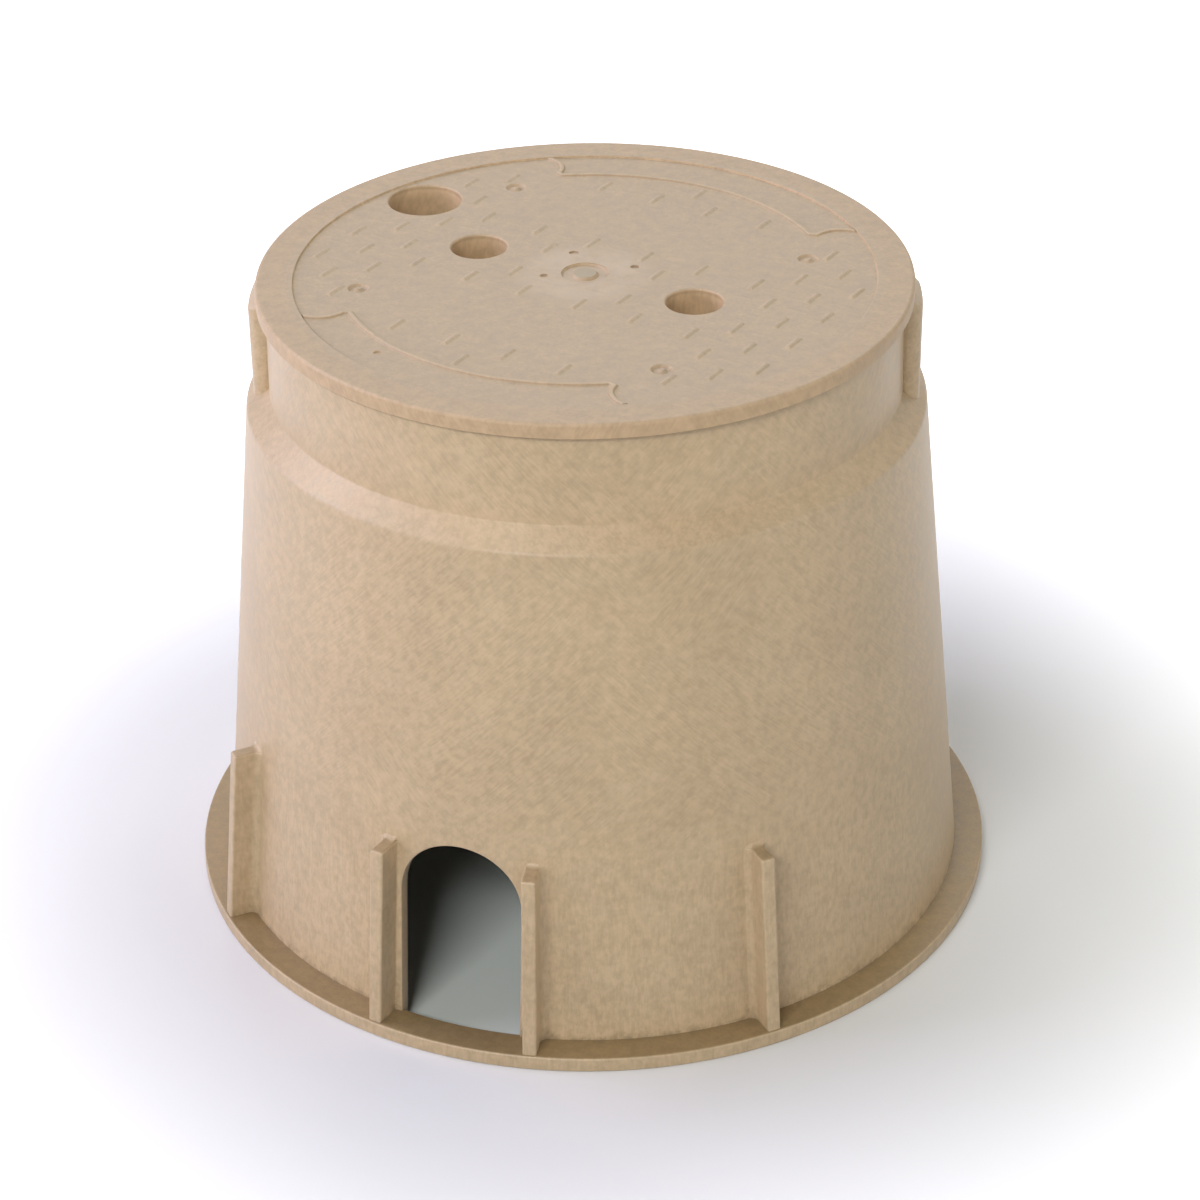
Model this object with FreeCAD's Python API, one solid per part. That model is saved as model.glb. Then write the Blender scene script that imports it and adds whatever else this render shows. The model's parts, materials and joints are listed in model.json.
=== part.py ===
"""Round irrigation valve box: a tapered body with pipe slots and a twist-lock lid.

Millimetres and degrees. +Z is up, the origin is on the ground at the middle of the base,
and the two pipe slots face -Y and +Y.
"""
import FreeCAD, Part
import math
import os

V = FreeCAD.Vector
ORIGIN = V(0, 0, 0)
UP = V(0, 0, 1)
FULL_TURN = 360.0
HALF_TURN = 180.0
QUARTER_TURN = 90.0

# Body wall, from the ground to the neck's rim
BODY_HEIGHT = 253.5
FOOT_RADIUS = 153.2
WALL = 6.3
NECK_RADIUS = 124.0
NECK_HEIGHT = 36.2
NECK_DRAFT = 1.0
SHOULDER_STEP = 9.3
SHOULDER_DROP = 7.3
SHOULDER_ROUND = 2.5
RIM_ROUND = 1.0

# Base flange and the upright gusset ribs that stand on it
FLANGE_WIDTH = 11.1
FLANGE_THICKNESS = 6.3
FLANGE_ROOT = 1.0
FLANGE_ROUND = 0.8
RIB_HEIGHT = 82.0
RIB_THICKNESS = 5.6
RIB_EDGE_INSET = 1.0
RIB_ROOT = 3.0
RIB_ROUND = 1.5
RIB_EDGE_ROUND = 0.6
RIB_FILLET = 3.5
RIB_FILLET_SINK = 0.5
CORNER_RIB_ANGLE = 45.4

# Arched pipe slots
SLOT_COUNT = 2
SLOT_WIDTH = 48.8
SLOT_HEIGHT = 85.5
SLOT_RIB_GAP = 2.9

# Lid disc
LIP_OVERHANG = 3.0
LIP_THICKNESS = 6.3
LIP_ROUND = 1.2
SEAT_GAP = 0.3
RIM_WIDTH = 14.5
RECESS_DEPTH = 1.0
RECESS_ROUND = 0.35
SKIRT_CLEARANCE = 0.8
SKIRT_THICKNESS = 4.5
SKIRT_DEPTH = 16.0
SKIRT_ROUND = 1.0

# Twist lock: hooks under the lid, keyways in the neck
HOOK_COUNT = 2
HOOK_WIDTH = 24.0
TOE_REACH = 7.0
TOE_HEIGHT = 8.0
TOE_GAP = 0.8
TOE_ROUND = 1.0
HOOK_WEB_THICKNESS = 4.0
HOOK_WEB_DEPTH = 16.0
KEYWAY_GAP = 1.0
KEYWAY_ANGLE = 18.0
KEYWAY_WALL = 5.9
KEYWAY_SIDE_WALL = 4.3
KEYWAY_TOP_CHAMFER = 3.2
LOCK_TURN = 30.0

# Holes through the lid and their collars
FINGER_HOLE_DIAMETER = 22.0
FINGER_HOLE_OFFSET = 49.0
LARGE_HOLE_DIAMETER = 29.5
LARGE_HOLE_OFFSET = 96.4
LARGE_HOLE_ANGLE = 164.2
COLLAR_WALL = 4.0
COLLAR_DEPTH = 18.0
HOLE_ROUND = 0.8

# Stiffening ribs under the lid
STIFFENER_COUNT = 8
STIFFENER_THICKNESS = 4.0
STIFFENER_DEPTH = 12.0
STIFFENER_RING_RADIUS = 68.0

# Tread: raised dashes that lie crosswise by turns
TREAD_PITCH = 12.33
DASH_LENGTH = 9.6
DASH_WIDTH = 2.2
DASH_HEIGHT = 0.9
DASH_DRAFT = 0.35
TREAD_MARGIN = 1.5
TREAD_HUB_RADIUS = 14.0
BLANK_HALF_LENGTH = 66.3
BLANK_NEAR = 32.0
BLANK_FAR = 62.7

# Beads that outline the two bare panels at the edge of the lid
PANEL_WIDTH = 18.1
PANEL_HALF_ANGLE = 39.4
PANEL_END_BOW = 3.7
BEAD_WIDTH = 2.6
BEAD_TOP_WIDTH = 1.2
BEAD_HEIGHT = 1.0

# Moulding gates: one at the middle of the lid and four around it
SPRUE_RING_RADIUS = 9.2
SPRUE_DISC_RADIUS = 4.7
SPRUE_DEPTH = 0.7
GATE_X = 67.7
GATE_Y = 55.2
GATE_RADIUS = 4.2
GATE_NUB_RADIUS = 1.6
GATE_DEPTH = 0.9

# Sizes that follow from the ones above
SHOULDER_TOP = BODY_HEIGHT - NECK_HEIGHT
SHOULDER_FOOT = SHOULDER_TOP - SHOULDER_DROP
SHOULDER_RADIUS = NECK_RADIUS + SHOULDER_STEP
NECK_TOP_RADIUS = NECK_RADIUS - NECK_HEIGHT * math.tan(math.radians(NECK_DRAFT))
FLANGE_RADIUS = FOOT_RADIUS + FLANGE_WIDTH
LID_UNDERSIDE = BODY_HEIGHT + SEAT_GAP
LID_TOP = LID_UNDERSIDE + LIP_THICKNESS
LID_FLOOR = LID_TOP - RECESS_DEPTH
LID_RADIUS = NECK_RADIUS + LIP_OVERHANG
RECESS_RADIUS = LID_RADIUS - RIM_WIDTH
BEAD_RADIUS = RECESS_RADIUS - PANEL_WIDTH
SKIRT_RADIUS = NECK_TOP_RADIUS - WALL - SKIRT_CLEARANCE
SKIRT_BORE = SKIRT_RADIUS - SKIRT_THICKNESS
TOE_RADIUS = SKIRT_RADIUS + TOE_REACH
KEYWAY_RADIUS = TOE_RADIUS + KEYWAY_GAP
KEYWAY_WIDTH = HOOK_WIDTH + 2 * KEYWAY_GAP
KEYWAY_BULGE_RADIUS = KEYWAY_RADIUS + KEYWAY_WALL
KEYWAY_BULGE_WIDTH = KEYWAY_WIDTH + 2 * KEYWAY_SIDE_WALL
HOLE_PLACES = [
    (FINGER_HOLE_OFFSET, 0.0, FINGER_HOLE_DIAMETER / 2),
    (-FINGER_HOLE_OFFSET, 0.0, FINGER_HOLE_DIAMETER / 2),
    (
        LARGE_HOLE_OFFSET * math.cos(math.radians(LARGE_HOLE_ANGLE)),
        LARGE_HOLE_OFFSET * math.sin(math.radians(LARGE_HOLE_ANGLE)),
        LARGE_HOLE_DIAMETER / 2,
    ),
]
GATE_PLACES = [(x, y) for x in (GATE_X, -GATE_X) for y in (GATE_Y, -GATE_Y)]


def polar(radius, angle, height):
    """Point at a radius and an angle from +X, at a height."""
    turn = math.radians(angle)
    return V(radius * math.cos(turn), radius * math.sin(turn), height)


def arc_angle(length, radius):
    """Angle that a length takes up along a circle."""
    return math.degrees(length / radius)


def rounded_face(corners):
    """Face in the XZ plane from corners (x, z, rounding), rounded with tangent arcs."""
    points = [V(x, 0, z) for x, z, rounding in corners]
    stops = []
    for index, (x, z, rounding) in enumerate(corners):
        here = points[index]
        if rounding == 0:
            stops.append((here, None, here))
            continue
        back = (points[index - 1] - here).normalize()
        ahead = (points[(index + 1) % len(points)] - here).normalize()
        half = back.getAngle(ahead) / 2
        reach = rounding / math.tan(half)
        inward = (back + ahead).normalize()
        middle = here + inward * (rounding / math.sin(half) - rounding)
        stops.append((here + back * reach, middle, here + ahead * reach))
    edges = []
    for index, (enter, middle, leave) in enumerate(stops):
        if middle is not None:
            edges.append(Part.Arc(enter, middle, leave).toShape())
        edges.append(Part.LineSegment(leave, stops[(index + 1) % len(stops)][0]).toShape())
    return Part.Face(Part.Wire(edges))


def turned(corners, angle=FULL_TURN):
    """Solid of revolution about Z, centred on +X when it is a part turn."""
    solid = rounded_face(corners).revolve(ORIGIN, UP, angle)
    if angle < FULL_TURN:
        solid.rotate(ORIGIN, UP, -angle / 2)
    return solid


def upright_web(corners, thickness):
    """Plate in the XZ plane, centred on it, pulled to a thickness along Y."""
    plate = rounded_face(corners).extrude(V(0, thickness, 0))
    plate.translate(V(0, -thickness / 2, 0))
    return plate


def spun(solid, angle):
    """Copy of a solid, turned about Z."""
    copy = solid.copy()
    copy.rotate(ORIGIN, UP, angle)
    return copy


def around(solid, count):
    """Copies of a solid, evenly spaced about Z."""
    return [spun(solid, index * FULL_TURN / count) for index in range(count)]


def wall_radius(height):
    """Outer radius of the tapered wall at a height."""
    taper = (FOOT_RADIUS - SHOULDER_RADIUS) / SHOULDER_FOOT
    return FOOT_RADIUS - taper * height


def inset_corner(before, corner, after, depth):
    """Corner of the two lines that lie to the left of before-corner-after by a depth."""
    first = (corner - before).normalize()
    second = (after - corner).normalize()
    first_left = V(-first.z, 0, first.x)
    second_left = V(-second.z, 0, second.x)
    share = depth / (1 + first_left.dot(second_left))
    return corner + (first_left + second_left) * share


def wall_corners():
    """Outer and inner corners of the wall's section, both from the ground upwards."""
    outer = [
        V(FOOT_RADIUS, 0, 0),
        V(SHOULDER_RADIUS, 0, SHOULDER_FOOT),
        V(NECK_RADIUS, 0, SHOULDER_TOP),
        V(NECK_TOP_RADIUS, 0, BODY_HEIGHT),
    ]
    wall_slope = math.atan2(FOOT_RADIUS - SHOULDER_RADIUS, SHOULDER_FOOT)
    inner = [
        V(FOOT_RADIUS - WALL / math.cos(wall_slope), 0, 0),
        inset_corner(outer[0], outer[1], outer[2], WALL),
        inset_corner(outer[1], outer[2], outer[3], WALL),
        V(NECK_TOP_RADIUS - WALL / math.cos(math.radians(NECK_DRAFT)), 0, BODY_HEIGHT),
    ]
    return outer, inner


def shell():
    """Tapered wall, shoulder and neck in one turn."""
    outer, inner = wall_corners()
    rounds = [0, SHOULDER_ROUND, SHOULDER_ROUND, RIM_ROUND]
    corners = [(point.x, point.z, size) for point, size in zip(outer, rounds)]
    corners += [(point.x, point.z, size) for point, size in zip(inner[::-1], rounds[::-1])]
    return turned(corners)


def pipe_slot():
    """Arched cutter for the slot that faces -Y."""
    half = SLOT_WIDTH / 2
    spring = SLOT_HEIGHT - half
    foot_left = V(-half, 0, -WALL)
    foot_right = V(half, 0, -WALL)
    left = V(-half, 0, spring)
    right = V(half, 0, spring)
    crown = V(0, 0, SLOT_HEIGHT)
    outline = Part.Wire([
        Part.LineSegment(foot_left, foot_right).toShape(),
        Part.LineSegment(foot_right, right).toShape(),
        Part.Arc(right, crown, left).toShape(),
        Part.LineSegment(left, foot_left).toShape(),
    ])
    return Part.Face(outline).extrude(V(0, -FLANGE_RADIUS, 0))


def flange():
    """Flat ring round the foot, which bridges the slots."""
    root = wall_radius(FLANGE_THICKNESS) - FLANGE_ROOT
    return turned([
        (root, 0, 0),
        (FLANGE_RADIUS, 0, FLANGE_ROUND),
        (FLANGE_RADIUS, FLANGE_THICKNESS, FLANGE_ROUND),
        (root, FLANGE_THICKNESS, 0),
    ])


def rib_section(standoff, lean):
    """Section across a rib that leans with the wall: x from the wall outwards, filleted at the root."""
    half = RIB_THICKNESS / 2
    flare = half + 2 * RIB_FILLET
    root = -RIB_ROOT * math.cos(lean)
    skin = -RIB_FILLET_SINK * math.cos(lean)
    edge = standoff * math.cos(lean)
    section = rounded_face([
        (root, -flare, 0),
        (skin, -flare, 0),
        (skin, -half, RIB_FILLET),
        (edge, -half, RIB_EDGE_ROUND),
        (edge, half, RIB_EDGE_ROUND),
        (skin, half, RIB_FILLET),
        (skin, flare, 0),
        (root, flare, 0),
    ])
    section.rotate(ORIGIN, V(1, 0, 0), -QUARTER_TURN)
    section.rotate(ORIGIN, V(0, 1, 0), -math.degrees(lean))
    return section


def gusset_rib():
    """Upright rib on the flange, with its outer edge parallel to the wall."""
    seat = FLANGE_THICKNESS / 2
    foot = wall_radius(seat)
    head = wall_radius(RIB_HEIGHT)
    standoff = FLANGE_RADIUS - RIB_EDGE_INSET - wall_radius(FLANGE_THICKNESS)
    along = V(head - foot, 0, RIB_HEIGHT - seat)
    section = rib_section(standoff, math.atan2(foot - head, RIB_HEIGHT - seat))
    overrun = along * 0.5
    section.translate(V(foot, 0, seat) - overrun)
    side = upright_web([
        (foot - RIB_ROOT, seat, 0),
        (foot + standoff, seat, 0),
        (head + standoff, RIB_HEIGHT, RIB_ROUND),
        (head - RIB_ROOT, RIB_HEIGHT, 0),
    ], FLANGE_RADIUS)
    return section.extrude(overrun + along + overrun).common(side)


def rib_angles():
    """Angles from a slot's middle to its ribs: one pair beside it, one pair at the corners."""
    beside = SLOT_WIDTH / 2 + SLOT_RIB_GAP + RIB_THICKNESS / 2
    beside_angle = math.degrees(math.asin(beside / wall_radius(FLANGE_THICKNESS)))
    return [-CORNER_RIB_ANGLE, -beside_angle, beside_angle, CORNER_RIB_ANGLE]


def keyway_bulge():
    """Bar on the outside of the neck that makes room for a keyway, centred on +X."""
    angle = arc_angle(KEYWAY_BULGE_WIDTH, KEYWAY_BULGE_RADIUS)
    lip_edge = KEYWAY_BULGE_RADIUS - KEYWAY_TOP_CHAMFER
    return turned([
        (SKIRT_RADIUS, SHOULDER_FOOT, 0),
        (KEYWAY_BULGE_RADIUS, SHOULDER_FOOT, 0),
        (KEYWAY_BULGE_RADIUS, BODY_HEIGHT - KEYWAY_TOP_CHAMFER, RIM_ROUND),
        (lip_edge, BODY_HEIGHT, 0),
        (SKIRT_RADIUS, BODY_HEIGHT, 0),
    ], angle)


def keyway():
    """Cutter for the groove that a hook drops through, centred on +X."""
    angle = arc_angle(KEYWAY_WIDTH, KEYWAY_RADIUS)
    return turned([
        (SKIRT_BORE, SHOULDER_FOOT - WALL, 0),
        (KEYWAY_RADIUS, SHOULDER_FOOT - WALL, 0),
        (KEYWAY_RADIUS, LID_TOP, 0),
        (SKIRT_BORE, LID_TOP, 0),
    ], angle)


def hollow():
    """Room inside the wall, as a solid."""
    inner = wall_corners()[1]
    rounds = [0, SHOULDER_ROUND, SHOULDER_ROUND, 0]
    corners = [(0, 0, 0)]
    corners += [(point.x, point.z, size) for point, size in zip(inner, rounds)]
    corners.append((0, BODY_HEIGHT, 0))
    return turned(corners)


def make_body():
    """Box body, one moulding."""
    slots = around(pipe_slot(), SLOT_COUNT)
    bulges = [bulge.cut(hollow()) for bulge in around(keyway_bulge(), HOOK_COUNT)]
    bulges = [spun(bulge, KEYWAY_ANGLE) for bulge in bulges]
    keyways = [spun(groove, KEYWAY_ANGLE) for groove in around(keyway(), HOOK_COUNT)]
    ribs = []
    for index in range(SLOT_COUNT):
        slot_angle = index * FULL_TURN / SLOT_COUNT - QUARTER_TURN
        ribs += [spun(gusset_rib(), slot_angle + angle) for angle in rib_angles()]
    wall = shell().fuse(ribs).cut(slots)
    return wall.fuse([flange()] + bulges).cut(keyways).removeSplitter()


def disc():
    """Lid's disc with its raised rim, recessed middle and locating skirt."""
    return turned([
        (0, LID_UNDERSIDE, 0),
        (SKIRT_BORE, LID_UNDERSIDE, 0),
        (SKIRT_BORE, LID_UNDERSIDE - SKIRT_DEPTH, SKIRT_ROUND),
        (SKIRT_RADIUS, LID_UNDERSIDE - SKIRT_DEPTH, SKIRT_ROUND),
        (SKIRT_RADIUS, LID_UNDERSIDE, 0),
        (LID_RADIUS, LID_UNDERSIDE, 0),
        (LID_RADIUS, LID_TOP, LIP_ROUND),
        (RECESS_RADIUS, LID_TOP, RECESS_ROUND),
        (RECESS_RADIUS, LID_FLOOR, 0),
        (0, LID_FLOOR, 0),
    ])


def stiffeners():
    """Radial ribs and one ring under the disc."""
    rib = Part.makeBox(
        SKIRT_RADIUS - SKIRT_THICKNESS / 2,
        STIFFENER_THICKNESS,
        STIFFENER_DEPTH,
        V(0, -STIFFENER_THICKNESS / 2, LID_UNDERSIDE - STIFFENER_DEPTH),
    )
    ring = turned([
        (STIFFENER_RING_RADIUS - STIFFENER_THICKNESS / 2, LID_UNDERSIDE - STIFFENER_DEPTH, 0),
        (STIFFENER_RING_RADIUS + STIFFENER_THICKNESS / 2, LID_UNDERSIDE - STIFFENER_DEPTH, 0),
        (STIFFENER_RING_RADIUS + STIFFENER_THICKNESS / 2, LID_UNDERSIDE, 0),
        (STIFFENER_RING_RADIUS - STIFFENER_THICKNESS / 2, LID_UNDERSIDE, 0),
    ])
    return around(rib, STIFFENER_COUNT) + [ring]


def collars():
    """Tubes under the disc round each hole, still solid."""
    tubes = []
    for x, y, radius in HOLE_PLACES:
        foot = V(x, y, LID_UNDERSIDE - COLLAR_DEPTH)
        tubes.append(Part.makeCylinder(radius + COLLAR_WALL, COLLAR_DEPTH, foot))
    return tubes


def bores():
    """Cutters for the holes, each with a rounded mouth."""
    cutters = []
    for x, y, radius in HOLE_PLACES:
        below = LID_UNDERSIDE - COLLAR_DEPTH - WALL
        mouth = rounded_face([
            (0, below, 0),
            (radius, below, 0),
            (radius, LID_FLOOR - HOLE_ROUND, 0),
            (radius + HOLE_ROUND, LID_FLOOR, 0),
            (radius + HOLE_ROUND, LID_TOP, 0),
            (0, LID_TOP, 0),
        ]).revolve(ORIGIN, UP, FULL_TURN)
        mouth.translate(V(x, y, 0))
        cutters.append(mouth)
    return cutters


def hook():
    """Leg under the skirt with a toe that reaches under the shoulder, centred on +X."""
    inner = wall_corners()[1]
    under_low = inner[1]
    under_high = inner[2]
    slope = (under_high.z - under_low.z) / (under_high.x - under_low.x)
    toe_tip = under_low.z + slope * (TOE_RADIUS - under_low.x) - TOE_GAP
    toe_heel = toe_tip + slope * (SKIRT_RADIUS - TOE_RADIUS)
    foot = toe_tip - TOE_HEIGHT
    leg = turned([
        (SKIRT_BORE, foot, TOE_ROUND),
        (TOE_RADIUS, foot, TOE_ROUND),
        (TOE_RADIUS, toe_tip, TOE_ROUND),
        (SKIRT_RADIUS, toe_heel, 0),
        (SKIRT_RADIUS, LID_UNDERSIDE, 0),
        (SKIRT_BORE, LID_UNDERSIDE, 0),
    ], arc_angle(HOOK_WIDTH, TOE_RADIUS))
    behind = SKIRT_BORE + SKIRT_THICKNESS / 2
    web = upright_web([
        (behind, foot, 0),
        (behind, LID_UNDERSIDE, 0),
        (SKIRT_BORE - HOOK_WEB_DEPTH, LID_UNDERSIDE, 0),
        (SKIRT_BORE - HOOK_WEB_DEPTH, LID_UNDERSIDE - STIFFENER_DEPTH, 0),
    ], HOOK_WEB_THICKNESS)
    return leg.fuse(web)


def dash():
    """One raised tread dash, long along X, with sloping sides."""
    long = DASH_LENGTH / 2
    wide = DASH_WIDTH / 2
    top_long = long - DASH_DRAFT
    top_wide = wide - DASH_DRAFT
    top = LID_FLOOR + DASH_HEIGHT
    return Part.makeWedge(
        -long, LID_FLOOR, -wide, -top_wide, -top_long, long, top, wide, top_wide, top_long
    )


def tread_clear(x, y):
    """Whether a dash at this place keeps off the rim, panels, holes, gates and hub."""
    distance = math.hypot(x, y)
    half_dash = DASH_LENGTH / 2
    if distance < TREAD_HUB_RADIUS or distance + half_dash + TREAD_MARGIN > RECESS_RADIUS:
        return False
    from_panel = math.degrees(math.atan2(abs(x), abs(y)))
    beside_bead = distance + half_dash > BEAD_RADIUS - BEAD_WIDTH / 2
    if beside_bead and from_panel < PANEL_HALF_ANGLE + arc_angle(half_dash, BEAD_RADIUS):
        return False
    for hole_x, hole_y, radius in HOLE_PLACES:
        if math.hypot(x - hole_x, y - hole_y) < radius + TREAD_MARGIN + DASH_WIDTH / 2:
            return False
    gate_distances = [math.hypot(x - gate_x, y - gate_y) for gate_x, gate_y in GATE_PLACES]
    return min(gate_distances) > GATE_RADIUS + half_dash / 2


def blank_areas():
    """Blocks over the two smooth areas of the tread."""
    size = V(2 * BLANK_HALF_LENGTH, BLANK_FAR - BLANK_NEAR, LID_TOP)
    return [
        Part.makeBox(size.x, size.y, size.z, V(-BLANK_HALF_LENGTH, BLANK_NEAR, 0)),
        Part.makeBox(size.x, size.y, size.z, V(-BLANK_HALF_LENGTH, -BLANK_FAR, 0)),
    ]


def tread():
    """Dashes on a square grid, crosswise by turns, left off the smooth areas."""
    along_x = dash()
    along_x.rotate(ORIGIN, V(1, 0, 0), QUARTER_TURN)
    along_y = spun(along_x, QUARTER_TURN)
    blanks = blank_areas()
    reach = int(RECESS_RADIUS / TREAD_PITCH)
    dashes = []
    for column in range(-reach, reach + 1):
        for row in range(-reach, reach + 1):
            x = column * TREAD_PITCH
            y = row * TREAD_PITCH
            if not tread_clear(x, y):
                continue
            pattern = along_x if (column + row) % 2 == 0 else along_y
            piece = pattern.copy()
            piece.translate(V(x, y, 0))
            dashes += piece.cut(blanks).Solids
    return dashes


def bead_along(path, side):
    """Raised bead with sloping sides along one arc; side points across its start."""
    start = path.valueAt(path.FirstParameter)
    base = side * (BEAD_WIDTH / 2)
    top = side * (BEAD_TOP_WIDTH / 2)
    sunk = V(0, 0, -RECESS_DEPTH)
    rise = V(0, 0, BEAD_HEIGHT)
    section = Part.makePolygon([
        start - base + sunk, start + base + sunk, start + base,
        start + top + rise, start - top + rise, start - base, start - base + sunk,
    ])
    return Part.Wire([path]).makePipeShell([section], True, False)


def panel_beads():
    """Bead round the panel on the +Y side: one long arc and two bowed ends."""
    first = QUARTER_TURN - PANEL_HALF_ANGLE
    last = QUARTER_TURN + PANEL_HALF_ANGLE
    long_arc = Part.Arc(
        polar(BEAD_RADIUS, first, LID_FLOOR),
        polar(BEAD_RADIUS, QUARTER_TURN, LID_FLOOR),
        polar(BEAD_RADIUS, last, LID_FLOOR),
    ).toShape()
    beads = [bead_along(long_arc, polar(1, first, 0))]
    middle_radius = (BEAD_RADIUS + RECESS_RADIUS) / 2
    bow = arc_angle(PANEL_END_BOW, middle_radius)
    for angle, inward in ((first, bow), (last, -bow)):
        end_arc = Part.Arc(
            polar(BEAD_RADIUS, angle, LID_FLOOR),
            polar(middle_radius, angle + inward, LID_FLOOR),
            polar(RECESS_RADIUS, angle, LID_FLOOR),
        ).toShape()
        heading = end_arc.tangentAt(end_arc.FirstParameter)
        beads.append(bead_along(end_arc, UP.cross(heading)))
    return beads


def gate_marks():
    """Round gate recesses, each with the stub that is left standing in it."""
    recesses = [Part.makeCylinder(SPRUE_RING_RADIUS, LID_TOP, V(0, 0, LID_FLOOR - SPRUE_DEPTH))]
    stubs = [Part.makeCylinder(SPRUE_DISC_RADIUS, WALL, V(0, 0, LID_FLOOR - WALL))]
    for x, y in GATE_PLACES:
        recesses.append(Part.makeCylinder(GATE_RADIUS, LID_TOP, V(x, y, LID_FLOOR - GATE_DEPTH)))
        stubs.append(Part.makeCylinder(GATE_NUB_RADIUS, WALL, V(x, y, LID_FLOOR - WALL)))
    return recesses, stubs


def make_lid():
    """Lid, one moulding, turned to its locked place."""
    recesses, stubs = gate_marks()
    hooks = around(hook(), HOOK_COUNT)
    beads = panel_beads()
    beads += [spun(bead, HALF_TURN) for bead in beads]
    blank = disc().fuse(stiffeners() + collars() + hooks)
    top = blank.cut(recesses).fuse(stubs + beads + tread())
    lid = top.cut(bores()).removeSplitter()
    return spun(lid, KEYWAY_ANGLE - LOCK_TURN)


os.makedirs("parts", exist_ok=True)
for node, shape in (("box_body", make_body()), ("lid", make_lid())):
    print(node, "solids", len(shape.Solids), "valid", shape.isValid(), "volume mm3", round(shape.Volume))
    shape.Solids[0].exportStep("parts/" + node + ".step")
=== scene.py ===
# %% [markdown]
# # A round irrigation valve box
# The real object is two mouldings of tan structural-foam plastic: a tapered box that is buried
# up to its neck, and a treaded lid that locks on it with a short turn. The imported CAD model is
# loaded first, because it fixes every size and place. What follows rebuilds the two mouldings
# with the small roundings, marks and finishes that a solid model leaves out.

# %% Load the frame
import json
import math

import bmesh
import bpy
from mathutils import Matrix, Vector
from mathutils.geometry import delaunay_2d_cdt

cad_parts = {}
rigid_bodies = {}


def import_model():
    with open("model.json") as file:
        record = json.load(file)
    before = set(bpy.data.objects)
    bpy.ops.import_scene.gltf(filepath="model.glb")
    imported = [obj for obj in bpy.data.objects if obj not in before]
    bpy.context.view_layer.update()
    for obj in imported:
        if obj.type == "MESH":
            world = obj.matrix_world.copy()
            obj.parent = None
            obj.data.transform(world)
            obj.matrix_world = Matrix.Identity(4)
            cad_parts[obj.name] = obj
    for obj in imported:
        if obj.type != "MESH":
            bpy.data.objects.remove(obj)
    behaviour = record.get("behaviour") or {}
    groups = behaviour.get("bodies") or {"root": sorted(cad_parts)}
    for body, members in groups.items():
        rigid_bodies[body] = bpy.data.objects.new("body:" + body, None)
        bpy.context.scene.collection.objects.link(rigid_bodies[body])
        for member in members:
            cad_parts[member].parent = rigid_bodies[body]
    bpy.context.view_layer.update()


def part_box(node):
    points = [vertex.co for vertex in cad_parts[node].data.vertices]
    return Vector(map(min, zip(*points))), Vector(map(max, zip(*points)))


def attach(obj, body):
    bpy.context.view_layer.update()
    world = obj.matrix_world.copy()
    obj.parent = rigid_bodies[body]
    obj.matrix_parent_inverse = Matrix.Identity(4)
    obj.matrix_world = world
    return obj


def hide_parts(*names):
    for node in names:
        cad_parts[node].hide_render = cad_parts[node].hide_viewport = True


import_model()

MM = 0.001


body_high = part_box("box_body")[1]
lid_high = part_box("lid")[1]

# %% [markdown]
# ## The camera
# A camera is a place, a direction and a lens. These were worked out from the ellipses of the lid
# and the base in the photograph: it looks down at about 31 degrees, from 20 degrees to the right
# of the pipe slot. A rotation is easiest to read as three turns: heading, tilt and a slight roll.

# %% Camera
IMAGE_SIDE = 1200
FOCAL_PIXELS = 3290.0
SENSOR_MM = 36.0
CAMERA_PLACE = Vector((404.1, -1080.8, 799.4)) * MM
CAMERA_HEADING = math.radians(20.297)
CAMERA_TILT = math.radians(59.235)
CAMERA_ROLL = math.radians(-0.78)

camera_data = bpy.data.cameras.new("photo_camera")
camera_data.sensor_width = SENSOR_MM
camera_data.lens = FOCAL_PIXELS / IMAGE_SIDE * SENSOR_MM
camera = bpy.data.objects.new("photo_camera", camera_data)
turns = Matrix.Rotation(CAMERA_HEADING, 4, "Z") @ Matrix.Rotation(CAMERA_TILT, 4, "X")
camera.matrix_world = Matrix.Translation(CAMERA_PLACE) @ turns @ Matrix.Rotation(CAMERA_ROLL, 4, "Z")
bpy.context.scene.collection.objects.link(camera)
bpy.context.scene.camera = camera
print("camera lens in mm:", round(camera_data.lens, 1))

# %% [markdown]
# ## Floor and light
# The object stands on a pale sweep of paper between white walls. A soft lamp a little to the left
# of the camera is the key: its edge shows as the slanting shadow inside the pipe slot. A large lamp
# at each side and one behind fill in, and the left one is cooler, like daylight. Two lamps only
# shine: hidden from diffuse rays, they make the sheen on the shoulder. The sky stands for the walls,
# so it is bright only near the horizon. Light Path tells what kind of ray asks: rays that make a
# picture see the far paper white, and the others meet a greyer floor, so that the lower wall isn't
# lit too much from below. More lamps could whiten the paper, but they would also bleach the shadow.

# %% Node helpers
def add_node(tree, kind, inputs=None, **settings):
    """New shader node; each input gets a value or, if a socket is given, a link."""
    node = tree.nodes.new("ShaderNode" + kind)
    for name, value in settings.items():
        setattr(node, name, value)
    for key, value in (inputs or {}).items():
        if isinstance(value, bpy.types.NodeSocket):
            tree.links.new(value, node.inputs[key])
        else:
            node.inputs[key].default_value = value
    return node


def new_material(name):
    """A material with a Principled BSDF joined to its output."""
    material = bpy.data.materials.new(name)
    material.use_nodes = True
    tree = material.node_tree
    tree.nodes.clear()
    shader = add_node(tree, "BsdfPrincipled")
    add_node(tree, "OutputMaterial", {"Surface": shader.outputs["BSDF"]})
    return material, tree, shader


def mix_colour(tree, factor, first, second, blend="MIX"):
    """Colour between two others."""
    node = add_node(tree, "Mix", {0: factor, 6: first, 7: second}, data_type="RGBA", blend_type=blend)
    return node.outputs[2]


def mix_value(tree, factor, first, second):
    """Value between two others."""
    return add_node(tree, "Mix", {0: factor, 2: first, 3: second}).outputs[0]


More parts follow.
